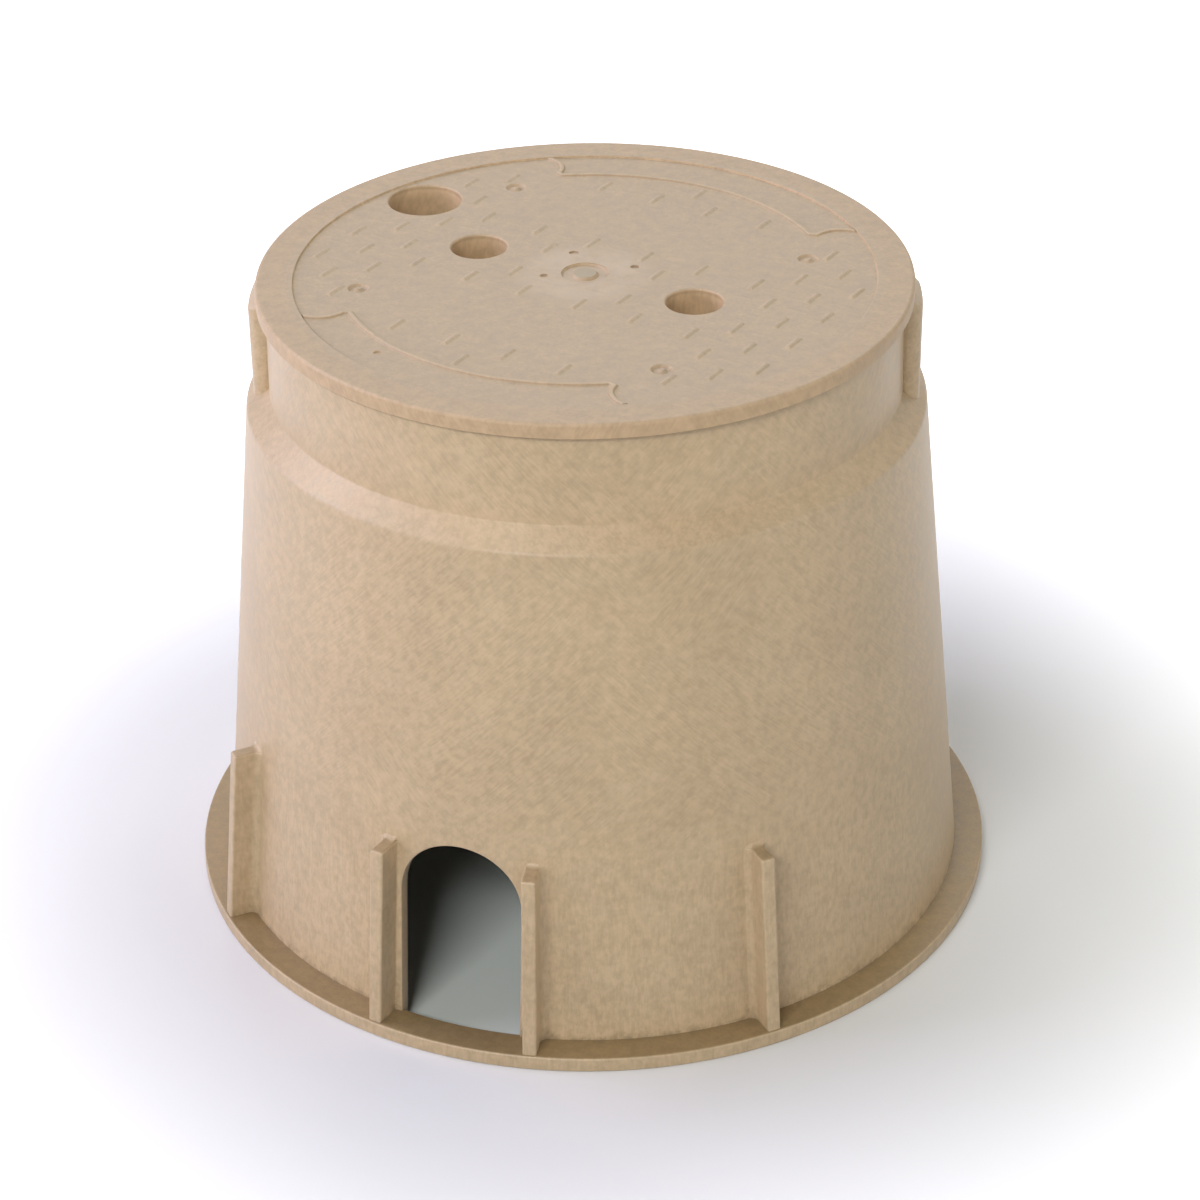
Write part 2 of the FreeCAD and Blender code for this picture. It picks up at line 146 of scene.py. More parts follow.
def math_node(tree, operation, first, second):
    """Result of a sum on two values."""
    return add_node(tree, "Math", {0: first, 1: second}, operation=operation).outputs[0]


def ramp(tree, value, start, end, low=0.0, high=1.0):
    """Value eased from low to high while it goes from start to end."""
    inputs = {"Value": value, "From Min": start, "From Max": end, "To Min": low, "To Max": high}
    return add_node(tree, "MapRange", inputs, interpolation_type="SMOOTHSTEP").outputs[0]


def object_place(tree):
    """Place of a point in the frame of its object."""
    return add_node(tree, "TexCoord").outputs["Object"]


def upward(tree, vector):
    """Part of a vector along Z."""
    return add_node(tree, "SeparateXYZ", {0: vector}).outputs["Z"]


def vector_node(tree, operation, *vectors):
    """Results of a sum on one or two vectors: "Vector", or "Value" for a length or a dot product."""
    return add_node(tree, "VectorMath", dict(enumerate(vectors)), operation=operation).outputs


def seeing_rays(tree):
    """1 for rays that show a picture: from the camera, by reflection or through glass."""
    path = add_node(tree, "LightPath").outputs
    mirrored = math_node(tree, "MAXIMUM", path["Is Glossy Ray"], path["Is Transmission Ray"])
    return math_node(tree, "MAXIMUM", path["Is Camera Ray"], mirrored)


print("helpers for nodes are ready")

# %% Floor
FLOOR_SIZE = 40.0
FLOOR_FINISH = {"Roughness": 0.9, "Specular IOR Level": 0.1, "Emission Color": (1.0, 1.0, 1.0, 1.0)}
BLACK = (0.0, 0.0, 0.0, 1.0)
FLOOR_SEEN = (0.90, 0.91, 0.90, 1.0)
FLOOR_INSIDE = (0.92, 1.0, 0.92, 1.0)
FLOOR_BOUNCE = (0.42, 0.44, 0.46, 1.0)
FLOOR_GLOW = 0.75
GLOW_START = 0.165
GLOW_FULL = 0.42
FAR_GLOW = 0.35
FAR_START = 1.2
FAR_FULL = 2.0
INSIDE_EDGE = 0.15
INSIDE_SHADE_BOUNCE = 0.3

floor_material, floor_tree, floor_shader = new_material("studio_floor")
for socket_name, value in FLOOR_FINISH.items():
    floor_shader.inputs[socket_name].default_value = value
floor_ray = seeing_rays(floor_tree)
floor_distance = vector_node(floor_tree, "LENGTH", object_place(floor_tree))["Value"]
# Under the box, bounce rays meet a floor painted darker: painted shade that keeps the inside of the box
# dark.
floor_shade = ramp(floor_tree, floor_distance, INSIDE_EDGE, GLOW_START, INSIDE_SHADE_BOUNCE, 1.0)
floor_bounce = mix_colour(floor_tree, floor_shade, BLACK, FLOOR_BOUNCE)
floor_seen = mix_colour(floor_tree, floor_shade, FLOOR_INSIDE, FLOOR_SEEN)
floor_colour = mix_colour(floor_tree, floor_ray, floor_bounce, floor_seen)
floor_tree.links.new(floor_colour, floor_shader.inputs["Base Color"])
floor_glow = ramp(floor_tree, floor_distance, GLOW_START, GLOW_FULL, 0.0, FLOOR_GLOW)
floor_far_glow = ramp(floor_tree, floor_distance, FAR_START, FAR_FULL, 0.0, FAR_GLOW)
floor_glow = math_node(floor_tree, "ADD", floor_glow, floor_far_glow)
floor_seen_glow = math_node(floor_tree, "MULTIPLY", floor_glow, floor_ray)
floor_tree.links.new(floor_seen_glow, floor_shader.inputs["Emission Strength"])

floor_mesh = bpy.data.meshes.new("floor")
half_floor = FLOOR_SIZE / 2
floor_corners = [(-1, -1), (1, -1), (1, 1), (-1, 1)]
floor_points = [(x * half_floor, y * half_floor, 0) for x, y in floor_corners]
floor_mesh.from_pydata(floor_points, [], [(0, 1, 2, 3)])
floor_mesh.materials.append(floor_material)
floor = bpy.data.objects.new("floor", floor_mesh)
bpy.context.scene.collection.objects.link(floor)
print("floor:", FLOOR_SIZE, "m wide")

# %% Sky and lamps
SKY_STRENGTH = 2.45
SKY_BRIGHT_BELOW = 0.05
SKY_DARK_ABOVE = 0.35
SKY_BEHIND = 0.1
SKY_DIM_FROM = -0.6
SKY_FULL_FROM = 0.2
ROOM_FRONT = (math.sin(CAMERA_HEADING), -math.cos(CAMERA_HEADING), 0.0)
WHITE = (1.0, 1.0, 1.0)
COOL = (1.01, 0.965, 1.35)
LAMP_DISTANCE = 2.0
LAMPS = {
    "key": {"bearing": -22, "height": 36, "width": 0.9, "tall": 0.35, "power": 17.2},
    "left_wall": {"bearing": -98, "height": 28, "width": 1.6, "tall": 1.6, "power": 22.0, "colour": COOL},
    "right_wall": {"bearing": 72, "height": 36, "width": 1.5, "tall": 1.2, "power": 7.0},
    "back_wall": {"bearing": 168, "height": 46, "width": 1.8, "tall": 0.7, "power": 14.4},
    "window": {"bearing": -108, "height": 43, "width": 0.8, "tall": 0.9, "power": 8.5, "shine": True},
    "ceiling": {"bearing": -46, "height": 68, "width": 1.2, "tall": 0.9, "power": 7.5, "shine": True},
}


def area_lamp(name, bearing, height, width, tall, power, colour=WHITE, shine=False):
    """Soft lamp aimed at the box, at a bearing to the right of the photo's camera, in degrees."""
    data = bpy.data.lights.new(name, "AREA")
    data.shape = "RECTANGLE"
    data.size = width
    data.size_y = tall
    data.energy = power
    data.color = colour
    turn = Matrix.Rotation(CAMERA_HEADING + math.radians(bearing), 3, "Z")
    direction = turn @ Matrix.Rotation(-math.radians(height), 3, "X") @ Vector((0, -1, 0))
    lamp = bpy.data.objects.new(name, data)
    lamp.location = Vector((0, 0, body_high.z / 2)) + direction * LAMP_DISTANCE
    lamp.rotation_euler = (-direction).to_track_quat("-Z", "Y").to_euler()
    lamp.visible_diffuse = not shine
    bpy.context.scene.collection.objects.link(lamp)


world = bpy.data.worlds.new("studio")
world.use_nodes = True
sky_tree = world.node_tree
sky = sky_tree.nodes["Background"]
sky.inputs["Color"].default_value = (1.0, 1.0, 1.0, 1.0)
sky_place = add_node(sky_tree, "TexCoord").outputs["Generated"]
sky_up = upward(sky_tree, sky_place)
sky_front = vector_node(sky_tree, "DOT_PRODUCT", sky_place, ROOM_FRONT)["Value"]
sky_round = ramp(sky_tree, sky_front, SKY_DIM_FROM, SKY_FULL_FROM, SKY_BEHIND, 1.0)
sky_rise = ramp(sky_tree, sky_up, SKY_BRIGHT_BELOW, SKY_DARK_ABOVE, SKY_STRENGTH, 0.0)
sky_light = math_node(sky_tree, "MULTIPLY", sky_rise, sky_round)
sky_strength = mix_value(sky_tree, seeing_rays(sky_tree), sky_light, 1.0)
sky_tree.links.new(sky_strength, sky.inputs["Strength"])
bpy.context.scene.world = world
for lamp_name, lamp_values in LAMPS.items():
    area_lamp(lamp_name, **lamp_values)
bpy.context.scene.view_settings.view_transform = "Standard"
print("lamps:", sorted(LAMPS))

# %% [markdown]
# ## Tools of the pattern shop
# Both mouldings are mostly turned shapes: a section that goes once round an axis. So the first
# tools are a rounded outline (corners with an arc of a few chords, which give the soft bright
# edges of moulded plastic) and a lathe that turns it. Mesh parts are then joined or cut with the
# exact Boolean solver, as a pattern maker glues and drills wood. Doing it with a Bevel modifier
# after the Booleans would be shorter, but thin faces along a cut make a bevel break up.

# %% Outlines and lofts
ROUND_STEPS = 3
WELD = 0.002 * MM


def rounded_outline(corners, steps=ROUND_STEPS):
    """Closed outline of 2-D points from corners (x, y, rounding), all in millimetres."""
    points = []
    for index, (x, y, rounding) in enumerate(corners):
        here = Vector((x, y))
        if rounding == 0:
            points.append(here)
            continue
        back = (Vector(corners[index - 1][:2]) - here).normalized()
        ahead = (Vector(corners[(index + 1) % len(corners)][:2]) - here).normalized()
        half = back.angle(ahead) / 2
        centre = here + (back + ahead).normalized() * rounding / math.sin(half)
        first = here + back * rounding / math.tan(half) - centre
        last = here + ahead * rounding / math.tan(half) - centre
        sweep = first.angle_signed(last)
        for step in range(steps + 1):
            points.append(centre + Matrix.Rotation(-sweep * step / steps, 2) @ first)
    return points


def rectangle(low_x, high_x, low_y, high_y):
    """Corners of a rectangle, in order."""
    return [Vector(p) for p in ((low_x, low_y), (high_x, low_y), (high_x, high_y), (low_x, high_y))]


def new_piece(name, bm):
    """Object in the scene from a bmesh whose points are in millimetres."""
    bmesh.ops.scale(bm, vec=(MM, MM, MM), verts=bm.verts)
    bmesh.ops.remove_doubles(bm, verts=bm.verts, dist=WELD)
    bmesh.ops.recalc_face_normals(bm, faces=bm.faces)
    mesh = bpy.data.meshes.new(name)
    bm.to_mesh(mesh)
    bm.free()
    piece = bpy.data.objects.new(name, mesh)
    bpy.context.scene.collection.objects.link(piece)
    return piece


def loft(bm, loops, closed=False):
    """Quads between closed loops of 3-D points; the last loop joins the first if closed."""
    rings = [[bm.verts.new(point) for point in loop] for loop in loops]
    pairs = list(zip(rings, rings[1:]))
    if closed:
        pairs.append((rings[-1], rings[0]))
    for near, far in pairs:
        for index in range(len(near)):
            after = (index + 1) % len(near)
            bm.faces.new((near[index], near[after], far[after], far[index]))
    return rings


def capped(name, loops):
    """Closed piece from loops of points, with a face over each end."""
    bm = bmesh.new()
    rings = loft(bm, loops)
    bm.faces.new(rings[0])
    bm.faces.new(rings[-1])
    return new_piece(name, bm)


print("points in a rounding:", ROUND_STEPS + 1)

# %% Lathes
TURN_STEPS = 180


def turned_point(point, angle):
    """Point (radius, height) of an outline, turned about Z."""
    return Vector((point.x * math.cos(angle), point.x * math.sin(angle), point.y))


def lathe(name, outline, steps=TURN_STEPS):
    """Outline of (radius, height) points, turned once round Z."""
    bm = bmesh.new()
    angles = [math.tau * step / steps for step in range(steps)]
    loft(bm, [[turned_point(point, angle) for point in outline] for angle in angles], closed=True)
    return new_piece(name, bm)


def turned_skin(bm, section):
    """Open section of (radius, height) points, turned once round Z; gives the angles of its steps."""
    angles = [math.tau * step / TURN_STEPS for step in range(TURN_STEPS)]
    rings = [[bm.verts.new(turned_point(point, angle)) for point in section] for angle in angles]
    for near, far in zip(rings, rings[1:] + rings[:1]):
        for index in range(len(section) - 1):
            bm.faces.new((near[index], near[index + 1], far[index + 1], far[index]))
    return angles


def quarter(steps):
    """Angles of a quarter turn in equal steps."""
    return [math.pi / 2 * step / steps for step in range(steps + 1)]


def part_lathe(name, outline, core, width, rounding):
    """Outline turned through a width about +X; its ends are rounded outside the core radius."""
    outer = max(point.x for point in outline)
    half = width / 2 / outer
    flat = half - rounding / outer
    end = []
    for bend in quarter(ROUND_STEPS):
        end.append((half - rounding * (1 - math.cos(bend)) / outer, rounding * (1 - math.sin(bend))))
    steps = max(2, int(flat / math.pi * TURN_STEPS))
    middle = [(flat * (1 - 2 * step / steps), 0) for step in range(1, steps)]
    loops = []
    for angle, drop in end + middle + [(-angle, drop) for angle, drop in end[::-1]]:
        eased = [Vector((p.x - drop if p.x > core else p.x, p.y)) for p in outline]
        loops.append([turned_point(point, angle) for point in eased])
    return capped(name, loops)


print("steps in a turn:", TURN_STEPS)

# %% Turns, Booleans and a check
SOLVER = "EXACT"


def spun(piece, degrees):
    """The piece, turned about Z in its mesh."""
    piece.data.transform(Matrix.Rotation(math.radians(degrees), 4, "Z"))
    return piece


def boolean(piece, operation, tools):
    """Joins the tools to a piece or cuts them from it, and removes them."""
    group = bpy.data.collections.new("boolean_tools")
    for tool in tools:
        group.objects.link(tool)
    step = piece.modifiers.new(operation, "BOOLEAN")
    step.operation = operation
    step.operand_type = "COLLECTION"
    step.collection = group
    step.solver = SOLVER
    depsgraph = bpy.context.evaluated_depsgraph_get()
    made = bpy.data.meshes.new_from_object(piece.evaluated_get(depsgraph))
    piece.modifiers.clear()
    piece.data = made
    for tool in tools:
        bpy.data.objects.remove(tool)
    bpy.data.collections.remove(group)


def open_edges(piece):
    """Number of edges that are not shared by exactly two faces; none on a closed skin."""
    bm = bmesh.new()
    bm.from_mesh(piece.data)
    count = sum(1 for edge in bm.edges if len(edge.link_faces) != 2)
    bm.free()
    return count


print("Boolean solver:", SOLVER)

# %% [markdown]
# ## The wall and its pipe slots
# The wall is a cone with a shoulder and a neck, 6.3 mm thick. The two arched slots cut through it
# near the ground. A cut by a Boolean would leave a sharp edge of uneven points, so the lower band
# of each face is laid out flat instead, as a sheet of points with the arch in it, filled by a
# constrained Delaunay triangulation and rolled up. Five narrow strips then lead round the edge of
# the slot from the outer sheet to the inner one, which gives the edge its small rounding.

# %% Wall sizes and the outline of a slot
BODY_HEIGHT = body_high.z / MM
FOOT_RADIUS = 153.2
WALL = 6.3
NECK_RADIUS = 124.0
NECK_FOOT = 217.3
NECK_TOP_RADIUS = 123.37
SHOULDER_RADIUS = 133.3
SHOULDER_FOOT = 210.0
SHOULDER_ROUND = 2.5
NECK_FOOT_ROUND = 1.0
RIM_ROUND = 1.0
BAND_HEIGHT = 104.0
BAND_ROWS = 13
SLOT_HALF = 24.4
SLOT_HEIGHT = 85.5
SLOT_SPRING = SLOT_HEIGHT - SLOT_HALF
SLOT_EDGE = 0.9
SLOT_SIDE_STEPS = 10
SLOT_ARCH_STEPS = 28
SHEET_CLEAR = 3 * SLOT_EDGE
SHEET_WELD = 1e-4
WALL_TAPER = (FOOT_RADIUS - SHOULDER_RADIUS) / SHOULDER_FOOT
WALL_ACROSS = WALL / math.cos(math.atan(WALL_TAPER))


def wall_radius(height, depth=0.0):
    """Radius of the tapered wall at a height, at a depth under its outer face."""
    return FOOT_RADIUS - WALL_TAPER * height - depth


def slot_arch(grow):
    """Points (x, height) of a slot's edge, from one foot over the crown to the other."""
    half = SLOT_HALF + grow
    side = [(half, SLOT_SPRING * step / SLOT_SIDE_STEPS) for step in range(SLOT_SIDE_STEPS)]
    arch = []
    for step in range(SLOT_ARCH_STEPS + 1):
        angle = math.pi * step / SLOT_ARCH_STEPS
        arch.append((half * math.cos(angle), SLOT_SPRING + half * math.sin(angle)))
    return [(-x, z) for x, z in side] + arch[::-1] + side[::-1]


def wall_point(angle, height, depth):
    """Point of the wall; the angle is from the front slot's middle, towards +X."""
    radius = wall_radius(height, depth)
    return Vector((radius * math.sin(angle), -radius * math.cos(angle), height))


def slot_angles(grow, depth, middle_angle):
    """Slot edge as (angle, height) on the wall at a depth."""
    edge = slot_arch(grow)
    return [(middle_angle + math.asin(x / wall_radius(z, depth)), z) for x, z in edge]


def foot_line(grow, depth):
    """Lower edge of a wall sheet as (angle, height), all round, up and over each slot."""
    line = []
    clear = SLOT_HALF + SHEET_CLEAR
    for half_turn in range(2):
        middle_angle = half_turn * math.pi
        line += slot_angles(grow, depth, middle_angle)
        for step in range(TURN_STEPS // 2):
            angle = math.tau * step / TURN_STEPS
            if abs(math.sin(angle)) * FOOT_RADIUS > clear:
                line.append((middle_angle + angle, 0.0))
    return line


def inside_slot(angle, height, grow, depth):
    """Whether a place on the wall lies in a slot."""
    x = abs(math.sin(angle)) * wall_radius(height, depth)
    across = math.hypot(x, height - SLOT_SPRING) if height > SLOT_SPRING else x
    return across < SLOT_HALF + grow


print("points along a slot's edge:", len(slot_arch(0)))

# %% Wall mesh
def wall_sheet(bm, grow, depth):
    """Lower band of one face of the wall, with the slots left open."""
    flat_radius = wall_radius(0, depth)
    seam = math.pi / 2
    edge = [((angle - seam) % math.tau + seam, z) for angle, z in foot_line(grow, depth)]
    split = edge.index(min(edge))
    edge = edge[split:] + edge[:split]
    edge.append((edge[0][0] + math.tau, 0.0))
    places = list(edge)
    for row in range(1, BAND_ROWS + 1):
        height = BAND_HEIGHT * row / BAND_ROWS
        for step in range(TURN_STEPS + 1):
            angle = edge[0][0] + math.tau * step / TURN_STEPS
            if not inside_slot(angle, height, grow + SHEET_CLEAR, depth):
                places.append((angle, height))
    lines = [(index, index + 1) for index in range(len(edge) - 1)]
    flat = [Vector((angle * flat_radius, height)) for angle, height in places]
    made = delaunay_2d_cdt(flat, lines, [], 0, SHEET_WELD)
    points, faces = made[0], made[2]
    verts = [bm.verts.new(wall_point(p.x / flat_radius, p.y, depth)) for p in points]
    for face in faces:
        centre = sum((points[index] for index in face), Vector((0, 0))) / len(face)
        if not inside_slot(centre.x / flat_radius, centre.y, grow, depth):
            bm.faces.new([verts[index] for index in face])


def wall_edge_loops():
    """Loops round the foot and the slots, from the outer face of the wall to the inner one."""
    soft = SLOT_EDGE * (1 - math.sqrt(0.5))
    steps = [(SLOT_EDGE, 0), (soft, soft), (0, SLOT_EDGE)]
    steps += [(grow, WALL_ACROSS - depth) for grow, depth in steps[::-1]]
    loops = []
    for grow, depth in steps:
        loops.append([wall_point(angle, z, depth) for angle, z in foot_line(grow, depth)])
    return loops


SHOULDER_SLOPE = math.atan2(NECK_FOOT - SHOULDER_FOOT, SHOULDER_RADIUS - NECK_RADIUS)
UNDER_LOW = SHOULDER_FOOT - WALL * (math.tan(SHOULDER_SLOPE / 2) + WALL_TAPER / 2)
UNDER_HIGH = NECK_FOOT - WALL * math.tan(SHOULDER_SLOPE / 2)
UNDER_LOW_RADIUS = wall_radius(UNDER_LOW, WALL_ACROSS)


def upper_wall():
    """Section of the shoulder, neck and rim, from the outer band over the top to the inner one."""
    corners = [
        (wall_radius(BAND_HEIGHT), BAND_HEIGHT, 0),
        (SHOULDER_RADIUS, SHOULDER_FOOT, SHOULDER_ROUND),
        (NECK_RADIUS, NECK_FOOT, NECK_FOOT_ROUND),
        (NECK_TOP_RADIUS, BODY_HEIGHT, RIM_ROUND),
        (NECK_TOP_RADIUS - WALL, BODY_HEIGHT, RIM_ROUND),
        (NECK_RADIUS - WALL, UNDER_HIGH, SHOULDER_ROUND),
        (UNDER_LOW_RADIUS, UNDER_LOW, SHOULDER_ROUND),
        (wall_radius(BAND_HEIGHT, WALL_ACROSS), BAND_HEIGHT, 0),
    ]
    return rounded_outline(corners)


def make_wall():
    """The bare tapered wall with its slots."""
    bm = bmesh.new()
    wall_sheet(bm, SLOT_EDGE, 0)
    wall_sheet(bm, SLOT_EDGE, WALL_ACROSS)
    loft(bm, wall_edge_loops())
    turned_skin(bm, upper_wall())
    return new_piece("box_body_moulding", bm)


box_body = make_wall()
print("wall:", len(box_body.data.polygons), "faces")

# %% [markdown]
# ## Flange, gusset ribs and keyway bars
# A flat ring round the foot keeps the box from sinking, and upright ribs tie it to the wall. Each
# rib leans with the wall, and a fillet runs up its root and over its top. A bevel of the finished
# edge would be quicker, but it can't fade out towards the slot, so each rib is lofted from sections
# that hold the fillet. Two bars stand out of the neck, because the lid's hooks pass through a groove
# behind each. All of them are closed shapes, joined to the wall with one Boolean, so that the result
# is a single skin as on the real moulding.

# %% Flange and ribs
FLANGE_RADIUS = body_high.x / MM
FLANGE_THICKNESS = 6.3
FLANGE_ROUND = 0.9
FLANGE_ROOT = 1.0
RIB_HEIGHT = 82.0
RIB_THICKNESS = 5.6
RIB_EDGE_INSET = 1.0
RIB_ROOT = 3.0
RIB_FILLET = 3.4
SLOT_SIDE_FILLET = 1.3
RIB_FILLET_SINK = 0.25
RIB_TOP_FILLET = 2.6
RIB_STEPS = 5
RIB_ROUND = 0.9
SLOT_RIB_GAP = 2.9
RIB_BESIDE_SLOT = SLOT_HALF + SLOT_RIB_GAP + RIB_THICKNESS / 2
RIB_CORNER_ANGLE = 45.4


def make_flange():
    """Flat ring round the foot."""
    root = wall_radius(FLANGE_THICKNESS) - FLANGE_ROOT
    return lathe("flange", rounded_outline([
        (root, 0, 0),
        (FLANGE_RADIUS, 0, FLANGE_ROUND),
        (FLANGE_RADIUS, FLANGE_THICKNESS, FLANGE_ROUND),
        (root, FLANGE_THICKNESS, 0),
    ]))


def rib_loop(height, inset, fillets):
    """Section of a rib at a height, filleted at the wall and drawn in at its free edges."""
    left, right = fillets
    skin = wall_radius(height)
    edge = skin + FLANGE_RADIUS - RIB_EDGE_INSET - wall_radius(FLANGE_THICKNESS) - inset
    half = RIB_THICKNESS / 2 - inset
    left_flare = -half - left - RIB_FILLET_SINK
    right_flare = half + right + RIB_FILLET_SINK
    sunk = skin - RIB_FILLET_SINK
    outline = rounded_outline([
        (skin - RIB_ROOT, left_flare, 0),
        (sunk, left_flare, 0),
        (sunk, -half, left),
        (edge, -half, RIB_ROUND),
        (edge, half, RIB_ROUND),
        (sunk, half, right),
        (sunk, right_flare, 0),
        (skin - RIB_ROOT, right_flare, 0),
    ], RIB_STEPS)
    return [Vector((point.x, point.y, height)) for point in outline]


def hollow(share):
    """Height of a hollow quarter round of radius 1, at a share of the way from its wall."""
    return 1 - math.sqrt(max(0.0, 1 - (1 - share) ** 2))


def rib_top_loop(rise, fillets):
    """Section of the fillet that leads from a rib's top into the wall, at a rise above the top."""
    height = RIB_HEIGHT + rise
    sunk = wall_radius(height) - RIB_FILLET_SINK
    half = RIB_THICKNESS / 2 - RIB_ROUND
    up = rise / RIB_TOP_FILLET
    spread = math.sqrt(max(0.0, 1 - up * up))
    sides = []
    for fillet in fillets:
        flare = half + fillet * spread
        side = [(-RIB_ROOT, flare + RIB_FILLET_SINK), (0.0, flare + RIB_FILLET_SINK)]
        for step, bend in enumerate(quarter(RIB_STEPS)):
            away = spread * (1 - math.sin(bend))
            blend = up / max(math.hypot(up, away), WELD)
            size = fillet + (RIB_TOP_FILLET - fillet) * (1.0 if step == RIB_STEPS else blend)
            side.append((size * hollow(math.hypot(up, away)), half + fillet * away))
        sides.append(side)
    last = 2 * RIB_STEPS + 1
    front = [(RIB_TOP_FILLET * hollow(up), half * (2 * step / last - 1)) for step in range(last + 1)]
    outline = [(out, -y) for out, y in sides[0]] + front + sides[1][::-1]
    return [Vector((sunk + out, y, height)) for out, y in outline]


def make_rib(angle, fillets):
    """One gusset rib; the angle is from the front slot's middle."""
    loops = [rib_loop(FLANGE_THICKNESS / 2, 0, fillets)]
    for bend in quarter(ROUND_STEPS):
        height = RIB_HEIGHT - RIB_ROUND * (1 - math.sin(bend))
        loops.append(rib_loop(height, RIB_ROUND * (1 - math.cos(bend)), fillets))
    for bend in quarter(RIB_STEPS):
        loops.append(rib_top_loop(RIB_TOP_FILLET * (1 - math.cos(bend)), fillets))
    return spun(capped("rib", loops), angle - 90)


beside = math.degrees(math.asin(RIB_BESIDE_SLOT / wall_radius(FLANGE_THICKNESS)))
rib_places = {
    -RIB_CORNER_ANGLE: (RIB_FILLET, RIB_FILLET),
    -beside: (RIB_FILLET, SLOT_SIDE_FILLET),
    beside: (SLOT_SIDE_FILLET, RIB_FILLET),
    RIB_CORNER_ANGLE: (RIB_FILLET, RIB_FILLET),
}
ribs = [make_rib(place + turn, fillets) for turn in (0, 180) for place, fillets in rib_places.items()]
flange = make_flange()
print("ribs:", len(ribs), "at", [round(place, 1) for place in rib_places], "degrees from each slot")

# %% Keyway bars on the neck
KEYWAY_ANGLE = 18.0
KEYWAY_RADIUS = 124.27
KEYWAY_WIDTH = 26.0
KEYWAY_CORE = 119.0
BAR_RADIUS = 130.17
BAR_WIDTH = 34.6
BAR_CHAMFER = 3.2
BAR_ROUND = 1.0
BAR_END_ROUND = 5.0


def keyway_bar():
    """Bar on the outside of the neck, chamfered under the lid."""
    return part_lathe("keyway_bar", rounded_outline([
        (KEYWAY_CORE, SHOULDER_FOOT - WALL / 2, 0),
        (BAR_RADIUS, SHOULDER_FOOT - WALL / 2, 0),
        (BAR_RADIUS, BODY_HEIGHT - BAR_CHAMFER, BAR_ROUND),
        (BAR_RADIUS - BAR_CHAMFER, BODY_HEIGHT, 0),
        (KEYWAY_CORE, BODY_HEIGHT, 0),
    ]), KEYWAY_CORE + BAR_ROUND, BAR_WIDTH, BAR_END_ROUND)


def keyway_cutter():
    """Groove that a hook of the lid drops through."""
    inner = NECK_TOP_RADIUS - 3 * WALL
    outline = rectangle(inner, KEYWAY_RADIUS, SHOULDER_FOOT - 2 * WALL, BODY_HEIGHT + WALL)
    return part_lathe("keyway_cutter", outline, KEYWAY_RADIUS - WALL, KEYWAY_WIDTH, BAR_ROUND)


bars = [spun(keyway_bar(), KEYWAY_ANGLE + turn) for turn in (0, 180)]
keyways = [spun(keyway_cutter(), KEYWAY_ANGLE + turn) for turn in (0, 180)]
boolean(box_body, "UNION", [flange] + ribs + bars)
boolean(box_body, "DIFFERENCE", keyways)
print("box body:", len(box_body.data.polygons), "faces")

# %% [markdown]
# ## The lid's tread and panels
# The top of the lid is a shallow recess with a tread: a square grid of small raised dashes, laid
# crosswise by turns. Two panels at the edge are outlined by a bead. A displacement map could draw
# them, but real geometry keeps its shadow in every light and stays in the mesh. Joining
# over a hundred bars by Boolean leaves torn edges on such a flat face, so the floor of the recess
# is triangulated round the foot of every bar instead, and each bar is lofted up from its foot.
# All of this is built straight and turned to the locked place at the end.

# %% Lid sizes and where the dashes go
LID_TOP = lid_high.z / MM
LID_RADIUS = 127.0
LIP_THICKNESS = 6.3
LID_UNDERSIDE = LID_TOP - LIP_THICKNESS
RECESS_DEPTH = 1.0
LID_FLOOR = LID_TOP - RECESS_DEPTH
RECESS_RADIUS = 112.5
FINGER_HOLE = 11.0
FINGER_OFFSET = 49.0
LARGE_HOLE = 14.75
LARGE_OFFSET = 96.4
LARGE_ANGLE = math.radians(164.2)
HOLES = [
    (FINGER_OFFSET, 0.0, FINGER_HOLE),
    (-FINGER_OFFSET, 0.0, FINGER_HOLE),
    (LARGE_OFFSET * math.cos(LARGE_ANGLE), LARGE_OFFSET * math.sin(LARGE_ANGLE), LARGE_HOLE),
]
GATE_X = 67.7
GATE_Y = 55.2
GATE_RADIUS = 4.2
GATES = [(x, y) for x in (GATE_X, -GATE_X) for y in (GATE_Y, -GATE_Y)]
TREAD_PITCH = 12.33
DASH_LENGTH = 9.6
DASH_WIDTH = 2.2
SHORTEST_DASH = 4.0
TREAD_MARGIN = 1.5
HUB_RADIUS = 14.0
BLANK_HALF_LENGTH = 66.3
BLANK_NEAR = 32.0
BLANK_FAR = 62.7
PANEL_HALF_ANGLE = math.radians(39.4)
PANEL_WIDTH = 18.1
BEAD_RADIUS = RECESS_RADIUS - PANEL_WIDTH
BEAD_WIDTH = 2.6


def tread_clear(x, y):
    """Whether a dash at this place keeps off the rim, panels, holes, gates and hub."""
    distance = math.hypot(x, y)
    half = DASH_LENGTH / 2
    if distance < HUB_RADIUS or distance + half + TREAD_MARGIN > RECESS_RADIUS:
        return False
    beside_bead = distance + half > BEAD_RADIUS - BEAD_WIDTH / 2
    if beside_bead and math.atan2(abs(x), abs(y)) < PANEL_HALF_ANGLE + half / BEAD_RADIUS:
        return False
    if min(math.hypot(x - hx, y - hy) - r for hx, hy, r in HOLES) < TREAD_MARGIN + DASH_WIDTH / 2:
        return False
    return min(math.hypot(x - gx, y - gy) for gx, gy in GATES) > GATE_RADIUS + half / 2


